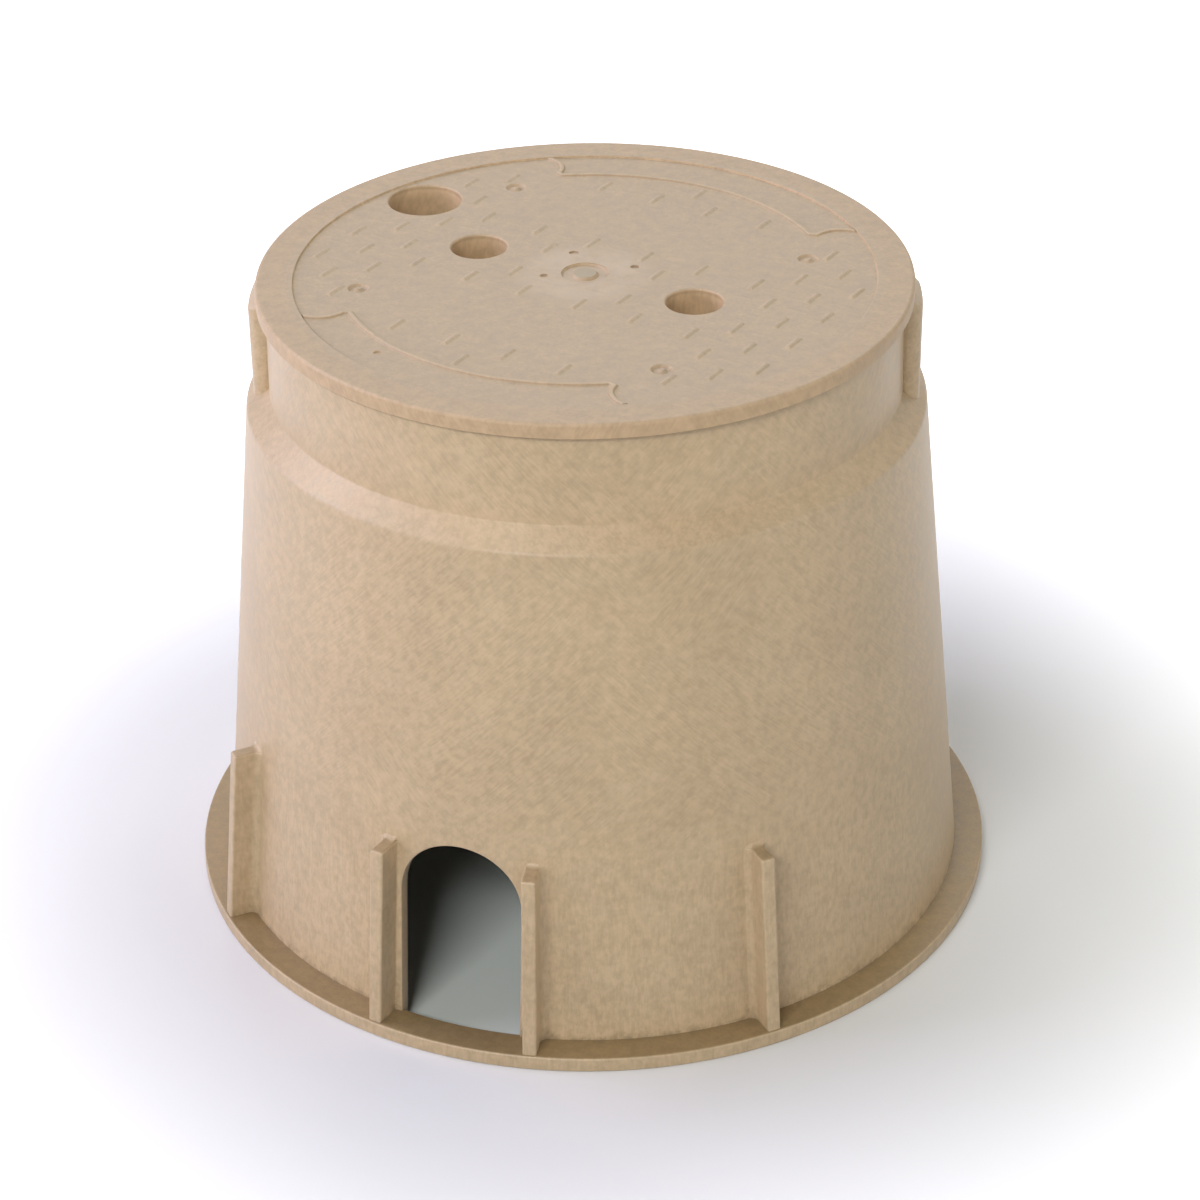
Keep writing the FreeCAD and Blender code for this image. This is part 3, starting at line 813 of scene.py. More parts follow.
def trimmed(x0, x1, y0, y1):
    """Extent of a dash, cut back where it would reach into one of the two smooth areas."""
    near, far = (BLANK_NEAR, BLANK_FAR) if y0 + y1 > 0 else (-BLANK_FAR, -BLANK_NEAR)
    if y1 <= near or y0 >= far or x0 >= BLANK_HALF_LENGTH or x1 <= -BLANK_HALF_LENGTH:
        return x0, x1, y0, y1
    if x1 > BLANK_HALF_LENGTH:
        return BLANK_HALF_LENGTH, x1, y0, y1
    if x0 < -BLANK_HALF_LENGTH:
        return x0, -BLANK_HALF_LENGTH, y0, y1
    if y0 < near:
        return x0, x1, y0, near
    return x0, x1, far, max(y1, far)


def dash_places():
    """Extents (x0, x1, y0, y1) of all dashes, on a square grid, crosswise by turns."""
    reach = int(RECESS_RADIUS / TREAD_PITCH)
    places = []
    for column in range(-reach, reach + 1):
        for row in range(-reach, reach + 1):
            x, y = column * TREAD_PITCH, row * TREAD_PITCH
            if not tread_clear(x, y):
                continue
            half_x, half_y = DASH_LENGTH / 2, DASH_WIDTH / 2
            if (column + row) % 2:
                half_x, half_y = half_y, half_x
            x0, x1, y0, y1 = trimmed(x - half_x, x + half_x, y - half_y, y + half_y)
            sides = sorted((x1 - x0, y1 - y0))
            if sides[0] > DASH_WIDTH / 2 and sides[1] > SHORTEST_DASH:
                places.append((x0, x1, y0, y1))
    return places


print("dashes:", len(dash_places()))

# %% Loops of a dash and of a bead
# Each pair holds a share of the rise, and how far the loop stands out past the dash there.
DASH_STEPS = [(0.0, 0.5), (0.25, 0.15), (0.62, -0.25), (0.9, -0.6), (1.0, -0.9)]
DASH_RISE = 0.68
FAINT_DASH_RISE = 0.09
DASH_CORNER = 0.6
LEAST_CORNER = 0.1
# Each pair holds a rise, and half the width of the bead there.
BEAD_STEPS = [(0.0, 1.5), (0.18, 1.2), (0.55, 0.95), (0.8, 0.7), (0.88, 0.4)]
END_BOW = 3.7
END_STEPS = 8
ARC_STEPS = 44
BEAD_END_GAP = 0.55
BEAD_END = RECESS_RADIUS - BEAD_END_GAP


def dash_loops(x0, x1, y0, y1):
    """Rounded rectangles of a dash as (points, rise), from its foot to its top."""
    loops = []
    height = FAINT_DASH_RISE if x1 - x0 > y1 - y0 else DASH_RISE
    for share, grow in DASH_STEPS:
        corners = rectangle(x0 - grow, x1 + grow, y0 - grow, y1 + grow)
        soft = max(DASH_CORNER + grow, LEAST_CORNER)
        loops.append((rounded_outline([(x, y, soft) for x, y in corners]), share * height))
    return loops


def polar(radius, angle):
    """Point at a radius and an angle from +X."""
    return Vector((radius * math.cos(angle), radius * math.sin(angle)))


def bead_path():
    """Path of the bead round the panel on the +Y side, from rim to rim."""
    first = math.pi / 2 - PANEL_HALF_ANGLE
    last = math.pi / 2 + PANEL_HALF_ANGLE
    ends = []
    for angle, side in ((first, 1), (last, -1)):
        run = []
        for step in range(END_STEPS + 1):
            share = step / END_STEPS
            radius = BEAD_RADIUS + (BEAD_END - BEAD_RADIUS) * share
            bow = side * END_BOW * (1 - (2 * share - 1) ** 2) / radius
            run.append(polar(radius, angle + bow))
        ends.append(run)
    steps = range(1, ARC_STEPS)
    arc = [polar(BEAD_RADIUS, first + (last - first) * step / ARC_STEPS) for step in steps]
    return ends[0][:0:-1] + arc + ends[1][1:]


def bead_loops(turn):
    """Outlines of a bead as (points, rise): both sides of its path, mitred at corners and rim."""
    path = [Matrix.Rotation(turn, 2) @ point for point in bead_path()]
    last = len(path) - 1
    across = []
    for index, point in enumerate(path):
        run = point - path[index - 1] if index else path[1] - point
        mitre = point.orthogonal()
        if 0 < index < last:
            mitre = (run.normalized() + (path[index + 1] - point).normalized()).orthogonal()
        across.append(mitre / mitre.dot(run.normalized().orthogonal()))
    loops = []
    for rise, half in BEAD_STEPS:
        left = [point + side * half for point, side in zip(path, across)]
        right = [point - side * half for point, side in zip(path, across)]
        loops.append((right + left[::-1], rise))
    return loops


print("bead path points:", len(bead_path()))

# %% [markdown]
# ## The lid's blank
# Round the tread goes a raised rim with a rounded lip, and below it a skirt that centres the lid
# in the neck, with stiffening ribs. The plastic swells slightly round the middle gate. The turned
# section and the triangulated floor meet at the same points, so welding makes one closed skin.

# %% Disc with its tread
LIP_ROUND = 1.5
LIP_FOOT_ROUND = 0.5
SKIRT_ROUND = 1.0
STEP_ROUND = 0.4
STEP_DRAFT = 0.1
SKIRT_RADIUS = 116.27
SKIRT_BORE = 111.77
SKIRT_DEPTH = 16.0
SWELL_RADIUS = 27.0
SWELL_HEIGHT = 0.3
FLOOR_GRID = 7.0
FLOOR_WELD = 1e-5


def swell(point):
    """Rise of the floor round the middle gate."""
    share = min(point.length / SWELL_RADIUS, 1.0)
    return SWELL_HEIGHT * (1 - share * share) ** 2


def lid_section():
    """Section of the lid from the middle of its underside to the foot of the raised rim."""
    outline = rounded_outline([
        (0, LID_UNDERSIDE, 0),
        (SKIRT_BORE, LID_UNDERSIDE, 0),
        (SKIRT_BORE, LID_UNDERSIDE - SKIRT_DEPTH, SKIRT_ROUND),
        (SKIRT_RADIUS, LID_UNDERSIDE - SKIRT_DEPTH, SKIRT_ROUND),
        (SKIRT_RADIUS, LID_UNDERSIDE, 0),
        (LID_RADIUS, LID_UNDERSIDE, LIP_FOOT_ROUND),
        (LID_RADIUS, LID_TOP, LIP_ROUND),
        (RECESS_RADIUS, LID_TOP, STEP_ROUND),
        (RECESS_RADIUS - STEP_DRAFT, LID_FLOOR, STEP_ROUND),
        (0, LID_FLOOR, 0),
    ])
    return outline[:-1]


def lid_floor(bm, rim, features):
    """Floor of the recess, triangulated round the foot of each feature; the feet stay open."""
    places = [Vector(point) for point in rim]
    feet = []
    for loops in features:
        feet.append(range(len(places), len(places) + len(loops[0][0])))
        places += loops[0][0]
    reach = int(RECESS_RADIUS / FLOOR_GRID)
    for column in range(-reach, reach + 1):
        for row in range(-reach, reach + 1):
            spot = Vector((column, row)) * FLOOR_GRID
            if spot.length < RECESS_RADIUS - FLOOR_GRID / 2:
                places.append(spot)
    edges = [(index, (index + 1) % len(rim)) for index in range(len(rim))]
    made = delaunay_2d_cdt(places, edges, [list(foot) for foot in feet], 0, FLOOR_WELD, True)
    points, faces, sources = made[0], made[2], made[5]
    verts = [bm.verts.new((p.x, p.y, LID_FLOOR + swell(p))) for p in points]
    for face, source in zip(faces, sources):
        if not source:
            bm.faces.new([verts[index] for index in face])


def lid_disc():
    """Rim, skirt and floor of the lid with its dashes and beads."""
    bm = bmesh.new()
    section = lid_section()
    rim = [polar(section[-1].x, angle) for angle in turned_skin(bm, section)]
    dashes = [dash_loops(*extent) for extent in dash_places()]
    beads = [bead_loops(turn) for turn in (0, math.pi)]
    lid_floor(bm, rim, dashes + beads)
    for loops in dashes + beads:
        solid = [[Vector((p.x, p.y, LID_FLOOR + swell(p) + rise)) for p in loop] for loop, rise in loops]
        top = loft(bm, solid)[-1]
        for index in range(len(top) // 2 - 1):
            bm.faces.new((top[index], top[index + 1], top[-index - 2], top[-index - 1]))
    return new_piece("lid_moulding", bm)


lid = lid_disc()
print("lid disc:", len(lid.data.polygons), "faces, open edges", open_edges(lid))

# %% Ribs, collars and hooks under the lid
STIFFENER_COUNT = 8
STIFFENER_THICKNESS = 4.0
STIFFENER_DEPTH = 12.0
STIFFENER_RING_RADIUS = 68.0
SUNK = 1.0
COLLAR_WALL = 4.0
COLLAR_DEPTH = 18.0
COLLAR_STEPS = 72
HOOK_WIDTH = 24.0
HOOK_INSET = 0.3
HOOK_ROUND = 1.0
TOE_RADIUS = SKIRT_RADIUS + 7.0
TOE_HEIGHT = 8.0
TOE_GAP = 0.8
WEB_DEPTH = 16.0


def moved(piece, x, y):
    """The piece, shifted in its mesh by millimetres."""
    piece.data.transform(Matrix.Translation((x * MM, y * MM, 0)))
    return piece


def plate(name, outline, thickness):
    """Upright plate from an outline of (x, z) points, centred on the XZ plane."""
    sides = (-thickness / 2, thickness / 2)
    return capped(name, [[Vector((p.x, side, p.y)) for p in outline] for side in sides])


def hanging(inner, outer, depth):
    """Section between two radii that hangs from the disc and reaches a little way into it."""
    return rectangle(inner, outer, LID_UNDERSIDE - depth, LID_UNDERSIDE + SUNK)


def stiffener_bar():
    """Rib under the disc, from skirt to skirt through the middle."""
    reach = SKIRT_BORE + SUNK
    return plate("stiffener", hanging(-reach, reach, STIFFENER_DEPTH), STIFFENER_THICKNESS)


def hook():
    """Leg below the skirt with a toe that reaches under the shoulder, centred on +X."""
    fall = (UNDER_HIGH - UNDER_LOW) / (NECK_RADIUS - WALL - UNDER_LOW_RADIUS)
    tip = UNDER_LOW + fall * (TOE_RADIUS - UNDER_LOW_RADIUS) - TOE_GAP
    heel = tip + fall * (SKIRT_RADIUS - TOE_RADIUS)
    foot = tip - TOE_HEIGHT
    inner = SKIRT_BORE + HOOK_INSET
    outer = SKIRT_RADIUS - HOOK_INSET
    high = LID_UNDERSIDE + SUNK
    leg = part_lathe("hook", rounded_outline([
        (inner, foot, HOOK_ROUND), (TOE_RADIUS, foot, HOOK_ROUND), (TOE_RADIUS, tip, HOOK_ROUND),
        (outer, heel, 0), (outer, high, 0), (inner, high, 0),
    ]), TOE_RADIUS - SUNK, HOOK_WIDTH, SUNK)
    corners = [
        (inner + SUNK, foot + SUNK), (inner + SUNK, high),
        (SKIRT_BORE - WEB_DEPTH, high), (SKIRT_BORE - WEB_DEPTH, LID_UNDERSIDE - STIFFENER_DEPTH),
    ]
    return [leg, plate("hook_web", [Vector(corner) for corner in corners], STIFFENER_THICKNESS + SUNK)]


ring_inner = STIFFENER_RING_RADIUS - STIFFENER_THICKNESS / 2
under = [lathe("ring", hanging(ring_inner, ring_inner + STIFFENER_THICKNESS, STIFFENER_DEPTH))]
for index in range(STIFFENER_COUNT // 2):
    under.append(spun(stiffener_bar(), index * 360 / STIFFENER_COUNT))
for x, y, radius in HOLES:
    collar = hanging(radius - SUNK, radius + COLLAR_WALL, COLLAR_DEPTH)
    under.append(moved(lathe("collar", collar, COLLAR_STEPS), x, y))
for turn in (0, 180):
    under += [spun(part, turn) for part in hook()]
boolean(lid, "UNION", under)
print("lid with its ribs and hooks:", len(lid.data.polygons), "faces, open edges", open_edges(lid))

# %% [markdown]
# ## Gates and holes
# Plastic entered the mould at five gates, and each left a round groove with sloping sides and a worn
# stub in its middle. Near them are a few small pits and a flat drop of plastic, and the three holes
# have a rounded mouth. All of these are lathed tools, since they stand alone on the flat floor. The
# drop is joined first, and everything that cuts comes after it in one Boolean, because each Boolean
# costs time and leaves more thin triangles.

# %% Gates, pits and bores
SMALL_STEPS = 48
SPRUE_RING = 9.2
SPRUE_DISC = 4.7
SPRUE_DEPTH = 1.1
SPRUE_SLOPE = 0.7
GATE_DEPTH = 0.95
GATE_SLOPE = 1.1
NUB_RADIUS = 1.3
STUB_EDGE = 0.35
GROOVE_ROUND = 0.2
PITS = [(-12.4, -9.9, 1.5), (13.6, 14.6, 1.7), (-13.7, 13.7, 1.9), (-29.5, -96.6, 1.6)]
PIMPLE = {"x": -24.5, "y": 15.5, "radius": 2.6, "rise": 0.6}
PIT_DEPTH = 0.7
PIT_SLOPE = 0.3
PIT_ROUND = 0.25
HOLE_ROUND = 0.9
MOUTH_SWEEP = math.radians(80)
MOUTH_STEPS = 5
CUTTER_FLARE = 0.1
CUTTER_RISE = 2.0
ABOVE = LID_TOP + CUTTER_RISE


def small_tool(name, x, y, corners):
    """Small lathed shape at a place on the lid, from corners of (radius, height, rounding)."""
    return moved(lathe(name, rounded_outline(corners), SMALL_STEPS), x, y)


def groove(x, y, inner, outer, depth, slope):
    """Cutter for a ring-shaped recess that leaves a stub with a worn edge in its middle."""
    floor_here = LID_FLOOR + swell(Vector((x, y)))
    low = floor_here - depth
    return small_tool("groove", x, y, [
        (inner + slope, low, GROOVE_ROUND),
        (outer - slope, low, GROOVE_ROUND),
        (outer, LID_FLOOR, 0),
        (outer + CUTTER_FLARE, ABOVE, 0),
        (inner - 2 * STUB_EDGE, ABOVE, 0),
        (inner - STUB_EDGE, floor_here, 0),
        (inner, floor_here - STUB_EDGE, 0),
    ])


def pit(x, y, radius):
    """Cutter for a small round pit with a sloping side."""
    low = LID_FLOOR - PIT_DEPTH
    return small_tool("pit", x, y, [
        (0, low, 0),
        (radius - PIT_SLOPE, low, PIT_ROUND),
        (radius, LID_FLOOR, 0),
        (radius + CUTTER_FLARE, ABOVE, 0),
        (0, ABOVE, 0),
    ])


def bore(x, y, radius):
    """Cutter for a hole with a rounded mouth."""
    low = LID_UNDERSIDE - COLLAR_DEPTH - SUNK
    outline = [Vector((0, low)), Vector((radius, low))]
    for step in range(MOUTH_STEPS + 1):
        bend = MOUTH_SWEEP * step / MOUTH_STEPS
        across = radius + HOLE_ROUND * (1 - math.cos(bend))
        outline.append(Vector((across, LID_FLOOR - HOLE_ROUND * (1 - math.sin(bend)))))
    outline += [Vector((outline[-1].x, ABOVE)), Vector((0, ABOVE))]
    return moved(lathe("bore", outline, COLLAR_STEPS), x, y)


def pimple(x, y, radius, rise):
    """A small flat drop of plastic on the floor of the lid."""
    low = LID_FLOOR - SUNK
    top = LID_FLOOR + rise
    corners = [(0, low, 0), (radius, low, 0), (radius, LID_FLOOR, 0), (radius / 2, top, rise), (0, top, 0)]
    return small_tool("pimple", x, y, corners)


boolean(lid, "UNION", [pimple(**PIMPLE)])
cutters = [groove(0, 0, SPRUE_DISC, SPRUE_RING, SPRUE_DEPTH, SPRUE_SLOPE)]
cutters += [groove(x, y, NUB_RADIUS, GATE_RADIUS, GATE_DEPTH, GATE_SLOPE) for x, y in GATES]
cutters += [pit(*place) for place in PITS]
cutters += [bore(*place) for place in HOLES]
boolean(lid, "DIFFERENCE", cutters)
print("lid:", len(lid.data.polygons), "faces, open edges", open_edges(lid))

# %% [markdown]
# ## Shading, bodies and slots
# Smooth shading hides the facets, and edges sharper than a limit stay crisp. Booleans leave long
# thin triangles on flat faces, so a Weighted Normal modifier lets the large faces set the normals.
# Each moulding then rides on its body of the frame and stands for its CAD solid.

# %% Finish of the two meshes
CREASE = math.radians(34)
LOCKED_TURN = -12.0


def settle(piece, body, node):
    """Cleans a mesh, sets its shading and hands it to the frame."""
    bm = bmesh.new()
    bm.from_mesh(piece.data)
    bmesh.ops.remove_doubles(bm, verts=bm.verts, dist=WELD)
    bmesh.ops.dissolve_degenerate(bm, edges=bm.edges, dist=WELD)
    bm.to_mesh(piece.data)
    bm.free()
    piece.data.polygons.foreach_set("use_smooth", [True] * len(piece.data.polygons))
    piece.data.set_sharp_from_angle(angle=CREASE)
    normals = piece.modifiers.new("flat_faces_lead", "WEIGHTED_NORMAL")
    normals.keep_sharp = True
    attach(piece, body)
    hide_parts(node)


settle(box_body, "body", "box_body")
settle(spun(lid, LOCKED_TURN), "cover", "lid")
for piece in (box_body, lid):
    print(piece.name, len(piece.data.polygons), "faces, open edges", open_edges(piece))

# %% [markdown]
# ## How the plastic looks
# Structural foam is plastic blown with gas, and its skin keeps the flow of the melt: fine fibres
# of lighter and darker tan that stand upright on the lower wall and swirl towards the neck, over
# soft blotches. Corners get dirt and painted shade, and edges are rubbed paler and get a painted
# highlight. Each effect serves both mouldings, so each is a node group that puts out masks. A
# picture of plastic would be quicker, but noise in object space has no seams and no repeats, and
# follows the part in every pose.

# %% Node group for the flow of the melt
def new_group(name, inputs):
    """Shader node group with number inputs; gives its tree and the sockets of those inputs."""
    group = bpy.data.node_groups.new(name, "ShaderNodeTree")
    for socket_name in inputs:
        group.interface.new_socket(socket_name, in_out="INPUT", socket_type="NodeSocketFloat")
    return group, group.nodes.new("NodeGroupInput").outputs


def end_group(group, results):
    """Makes an output of the group for each named result."""
    for socket_name in results:
        group.interface.new_socket(socket_name, in_out="OUTPUT", socket_type="NodeSocketFloat")
    end = group.nodes.new("NodeGroupOutput")
    for socket_name, socket in results.items():
        group.links.new(socket, end.inputs[socket_name])
    print("group:", group.name, [item.name for item in group.interface.items_tree])


def noise(tree, place, scale, detail, roughness=0.55):
    """Noise texture, read at a place."""
    values = {"Vector": place, "Scale": scale, "Detail": detail, "Roughness": roughness}
    return add_node(tree, "TexNoise", values).outputs["Fac"]


PATCH_SCALE = 11.0
PATCH_RANGE = (0.42, 0.58)
UPRIGHT_BELOW = 0.06
LEANING_ABOVE = 0.12
MOTTLE_SHARE = 0.5
FIBRE_RANGE = (0.32, 0.68)
BLOTCH_RANGE = (0.3, 0.7)
CLOUD_SCALE = 24.0
GRAIN_SCALE = 1200.0
SPECK_SCALE = 28.0
SPECK_SIZE = 0.035
SPECK_SHARE = 0.3

flow_group, flow_in = new_group("melt_flow", ["Fibre Width", "Fibre Length", "Lean", "Mottle", "Blotch"])
flow_place = object_place(flow_group)
flow_height = upward(flow_group, flow_place)
fibre_sides = {0: flow_in["Fibre Width"], 1: flow_in["Fibre Width"], 2: flow_in["Fibre Length"]}
fibre_size = add_node(flow_group, "CombineXYZ", fibre_sides).outputs[0]


def fibres(lean):
    """Noise drawn out along Z and then twisted about it, so that the fibres lean to one side."""
    twist = math_node(flow_group, "MULTIPLY", flow_in["Lean"], lean)
    turn = {"Vector": flow_place, "Angle": math_node(flow_group, "MULTIPLY", flow_height, twist)}
    turned = add_node(flow_group, "VectorRotate", turn, rotation_type="Z_AXIS").outputs["Vector"]
    place = vector_node(flow_group, "DIVIDE", turned, fibre_size)["Vector"]
    return noise(flow_group, place, 1.0, detail=2.5, roughness=0.75)


patches = ramp(flow_group, noise(flow_group, flow_place, PATCH_SCALE, detail=1.0), *PATCH_RANGE)
leaning = mix_value(flow_group, patches, fibres(1.0), fibres(-1.0))
upright = ramp(flow_group, flow_height, LEANING_ABOVE, UPRIGHT_BELOW)
all_fibres = mix_value(flow_group, upright, leaning, fibres(0.0))
mottle_scale = math_node(flow_group, "DIVIDE", 1.0, flow_in["Mottle"])
mottle = noise(flow_group, flow_place, mottle_scale, detail=2.0, roughness=0.6)
all_fibres = mix_value(flow_group, MOTTLE_SHARE, all_fibres, mottle)
blotch_scale = math_node(flow_group, "DIVIDE", 1.0, flow_in["Blotch"])
blotches = noise(flow_group, flow_place, blotch_scale, detail=3.0)
clouds = noise(flow_group, flow_place, CLOUD_SCALE, detail=1.0)
speck_cells = add_node(flow_group, "TexVoronoi", {"Vector": flow_place, "Scale": SPECK_SCALE}).outputs
speck_near = ramp(flow_group, speck_cells["Distance"], SPECK_SIZE, SPECK_SIZE / 3)
speck_pick = math_node(flow_group, "LESS_THAN", speck_cells["Color"], SPECK_SHARE)
end_group(flow_group, {
    "Fibres": ramp(flow_group, all_fibres, *FIBRE_RANGE),
    "Blotches": ramp(flow_group, blotches, *BLOTCH_RANGE),
    "Clouds": ramp(flow_group, clouds, *BLOTCH_RANGE),
    "Grain": noise(flow_group, flow_place, GRAIN_SCALE, detail=2.0),
    "Specks": math_node(flow_group, "MULTIPLY", speck_near, speck_pick),
})

# %% Node group for corners, edges and tops
AO_SAMPLES = 8
DIRT_SCALE = 260.0
DIRT_RANGE = (0.2, 0.8)
DIRT_SHIFT = (-0.3, 0.3)
CORNER_RANGE = (0.85, 0.3)
EDGE_RANGE = (0.9, 0.45)
TOP_RANGE = (0.6, 0.92)

place_group, place_in = new_group("wear_and_light_places", ["Corner Reach", "Edge Reach"])


def occlusion(reach, inside):
    """Ambient occlusion: how much of the surroundings a point of the skin sees."""
    settings = {"samples": AO_SAMPLES, "inside": inside, "only_local": True}
    values = {"Distance": place_in[reach]}
    return add_node(place_group, "AmbientOcclusion", values, **settings).outputs["AO"]


def skin_normal(tree):
    """Normal of the skin at a point."""
    return add_node(tree, "NewGeometry").outputs["Normal"]


# Corner: ambient occlusion broken up by noise, for dirt and painted shade in corners.
dirt_noise = noise(place_group, object_place(place_group), DIRT_SCALE, detail=4.0, roughness=0.65)
dirt_shift = ramp(place_group, dirt_noise, *DIRT_RANGE, *DIRT_SHIFT)
dirt_and_shade_depth = math_node(place_group, "ADD", occlusion("Corner Reach", False), dirt_shift)
skin_up = upward(place_group, skin_normal(place_group))
# Edge marks convex edges, rubbed paler and given a painted highlight.
end_group(place_group, {
    "Corner": ramp(place_group, dirt_and_shade_depth, *CORNER_RANGE),
    "Edge": ramp(place_group, occlusion("Edge Reach", True), *EDGE_RANGE),
    "Top": ramp(place_group, skin_up, *TOP_RANGE),
})

# %% [markdown]
# ## The two plastics
# Both materials start alike: fibres between two tones, and blotches. On the box, soil and painted
# shade darken the flange and, less, the rib tops, dirt and painted shade fill the corners near the
# floor, and the inside is painted dark as shade. On the lid the top is paler and greyer than the
# deeper tan sides, partly faded by the sun and partly a painted sheen. The sides of the tread get
# painted shade, the crests of the beads are worn paler with a painted highlight, the walls of the
# holes get painted light, and the plastic round the middle gate is paler. One function with switches
# would save lines, but it would hide which effect is whose. So each material has its own short
# function, which adds its effects one over the other like coats of thin paint.

# %% Helpers for the coats
BUMP_DISTANCE = 0.00014


def place_groups(tree, flow_values, wear_and_light_values):
    """The two groups in a material, each with its own values."""
    flow = add_node(tree, "Group", node_tree=flow_group)
    wear_and_light = add_node(tree, "Group", node_tree=place_group)
    for node, values in ((flow, flow_values), (wear_and_light, wear_and_light_values)):
        for key, value in values.items():
            node.inputs[key].default_value = value
    return flow.outputs, wear_and_light.outputs


def times(tree, mask, strength):
    """A mask made weaker, by a number or by another mask."""
    return math_node(tree, "MULTIPLY", mask, strength)


def from_axis(tree, place):
    """Level vector from the axis to a place."""
    return vector_node(tree, "MULTIPLY", place, (1, 1, 0))["Vector"]


def surface(tree, shader, colour, flow, roughness, bump):
    """Joins the colour to the shader, with a roughness and a bump that follow fibres and grain."""
    tree.links.new(colour, shader.inputs["Base Color"])
    tree.links.new(ramp(tree, flow["Fibres"], 0.0, 1.0, *roughness), shader.inputs["Roughness"])
    height = math_node(tree, "ADD", flow["Fibres"], flow["Grain"])
    relief = add_node(tree, "Bump", {"Strength": bump, "Distance": BUMP_DISTANCE, "Height": height})
    tree.links.new(relief.outputs["Normal"], shader.inputs["Normal"])


print("bump in mm:", BUMP_DISTANCE / MM)

# %% Plastic of the box
BODY_FLOW = {
    "Fibre Width": 0.0013, "Fibre Length": 0.0065, "Lean": 7.0, "Mottle": 0.0037, "Blotch": 0.014,
}
BODY_WEAR_AND_LIGHT = {"Corner Reach": 0.006, "Edge Reach": 0.0016}
BODY_DEEP = (0.458, 0.342, 0.204, 1.0)
BODY_LIGHT = (0.592, 0.441, 0.270, 1.0)
BODY_PINK = (0.993, 0.978, 0.962, 1.0)
BODY_CLOUD = (0.94, 0.935, 0.93, 1.0)
BODY_RUBBED_EDGE_AND_HIGHLIGHT = (0.64, 0.51, 0.37, 1.0)
BODY_EDGE_SHARE = 0.2
BODY_SPECK_SHARE = 0.4
SOIL_AND_SHADE_TINT = (0.625, 0.59, 0.465, 1.0)
SOIL_TOP = 0.1
SOIL_RIB_TOPS = 0.09
SOIL_ABOVE_FLANGE = 0.03
SOIL_FULL = 0.015
SOIL_RIB_SHARE = 0.45
DIRT_AND_SHADE_BROWN = (0.22, 0.16, 0.09, 1.0)
DIRT_TOP = 0.035
DIRT_FULL = 0.01
DIRT_SHARES = (0.12, 0.7)
PAINTED_SHADE_BROWN = (0.09, 0.06, 0.035, 1.0)
INSIDE_SHADE_SHARE = 0.9
INSIDE_RANGE = (-0.3, -0.7)
BODY_ROUGHNESS = (0.38, 0.5)
BODY_BUMP = 0.3


def box_plastic():
    """Tan foam plastic with soil and painted shade on its ledges, dirt and painted shade in its corners
    and a painted dark inside.
    """
    material, tree, shader = new_material("body_plastic")
    flow, wear_and_light = place_groups(tree, BODY_FLOW, BODY_WEAR_AND_LIGHT)
    place = object_place(tree)
    height = upward(tree, place)
    colour = mix_colour(tree, flow["Fibres"], BODY_DEEP, BODY_LIGHT)
    colour = mix_colour(tree, flow["Blotches"], colour, BODY_PINK, "MULTIPLY")
    colour = mix_colour(tree, flow["Clouds"], colour, BODY_CLOUD, "MULTIPLY")
    # Convex edges are made paler: rubbed plastic and a painted highlight.
    colour = mix_colour(tree, times(tree, wear_and_light["Edge"], BODY_EDGE_SHARE), colour, BODY_RUBBED_EDGE_AND_HIGHLIGHT)
    colour = mix_colour(tree, times(tree, flow["Specks"], BODY_SPECK_SHARE), colour, DIRT_AND_SHADE_BROWN)
    # Soil and painted shade: the flange top and, less, the rib tops are darkened.
    rib_soil = ramp(tree, height, SOIL_TOP, SOIL_RIB_TOPS, 0.0, SOIL_RIB_SHARE)
    flange_soil = ramp(tree, height, SOIL_ABOVE_FLANGE, SOIL_FULL, 0.0, 1.0 - SOIL_RIB_SHARE)
    soil = math_node(tree, "ADD", rib_soil, flange_soil)
    colour = mix_colour(tree, times(tree, wear_and_light["Top"], soil), colour, SOIL_AND_SHADE_TINT, "MULTIPLY")
    # Corners near the floor are darkened: dirt and painted shade.
    dirt = times(tree, wear_and_light["Corner"], ramp(tree, height, DIRT_TOP, DIRT_FULL, *DIRT_SHARES))
    colour = mix_colour(tree, dirt, colour, DIRT_AND_SHADE_BROWN)
    # The inside of the wall is painted dark: painted shade.
    outward = vector_node(tree, "NORMALIZE", from_axis(tree, place))["Vector"]
    facing = vector_node(tree, "DOT_PRODUCT", outward, skin_normal(tree))["Value"]
    inside = ramp(tree, facing, *INSIDE_RANGE)
    colour = mix_colour(tree, times(tree, inside, INSIDE_SHADE_SHARE), colour, PAINTED_SHADE_BROWN)
    surface(tree, shader, colour, flow, BODY_ROUGHNESS, BODY_BUMP)
    return material


body_material = box_plastic()
print("material:", body_material.name, len(body_material.node_tree.nodes), "nodes")

# %% Plastic of the lid
LID_FLOW = {
    "Fibre Width": 0.0015, "Fibre Length": 0.006, "Lean": 4.0, "Mottle": 0.0053, "Blotch": 0.012,
}
LID_WEAR_AND_LIGHT = {"Corner Reach": 0.004, "Edge Reach": 0.0012}
LID_SIDE_DEEP = (0.448, 0.310, 0.176, 1.0)
LID_SIDE_LIGHT = (0.570, 0.398, 0.232, 1.0)
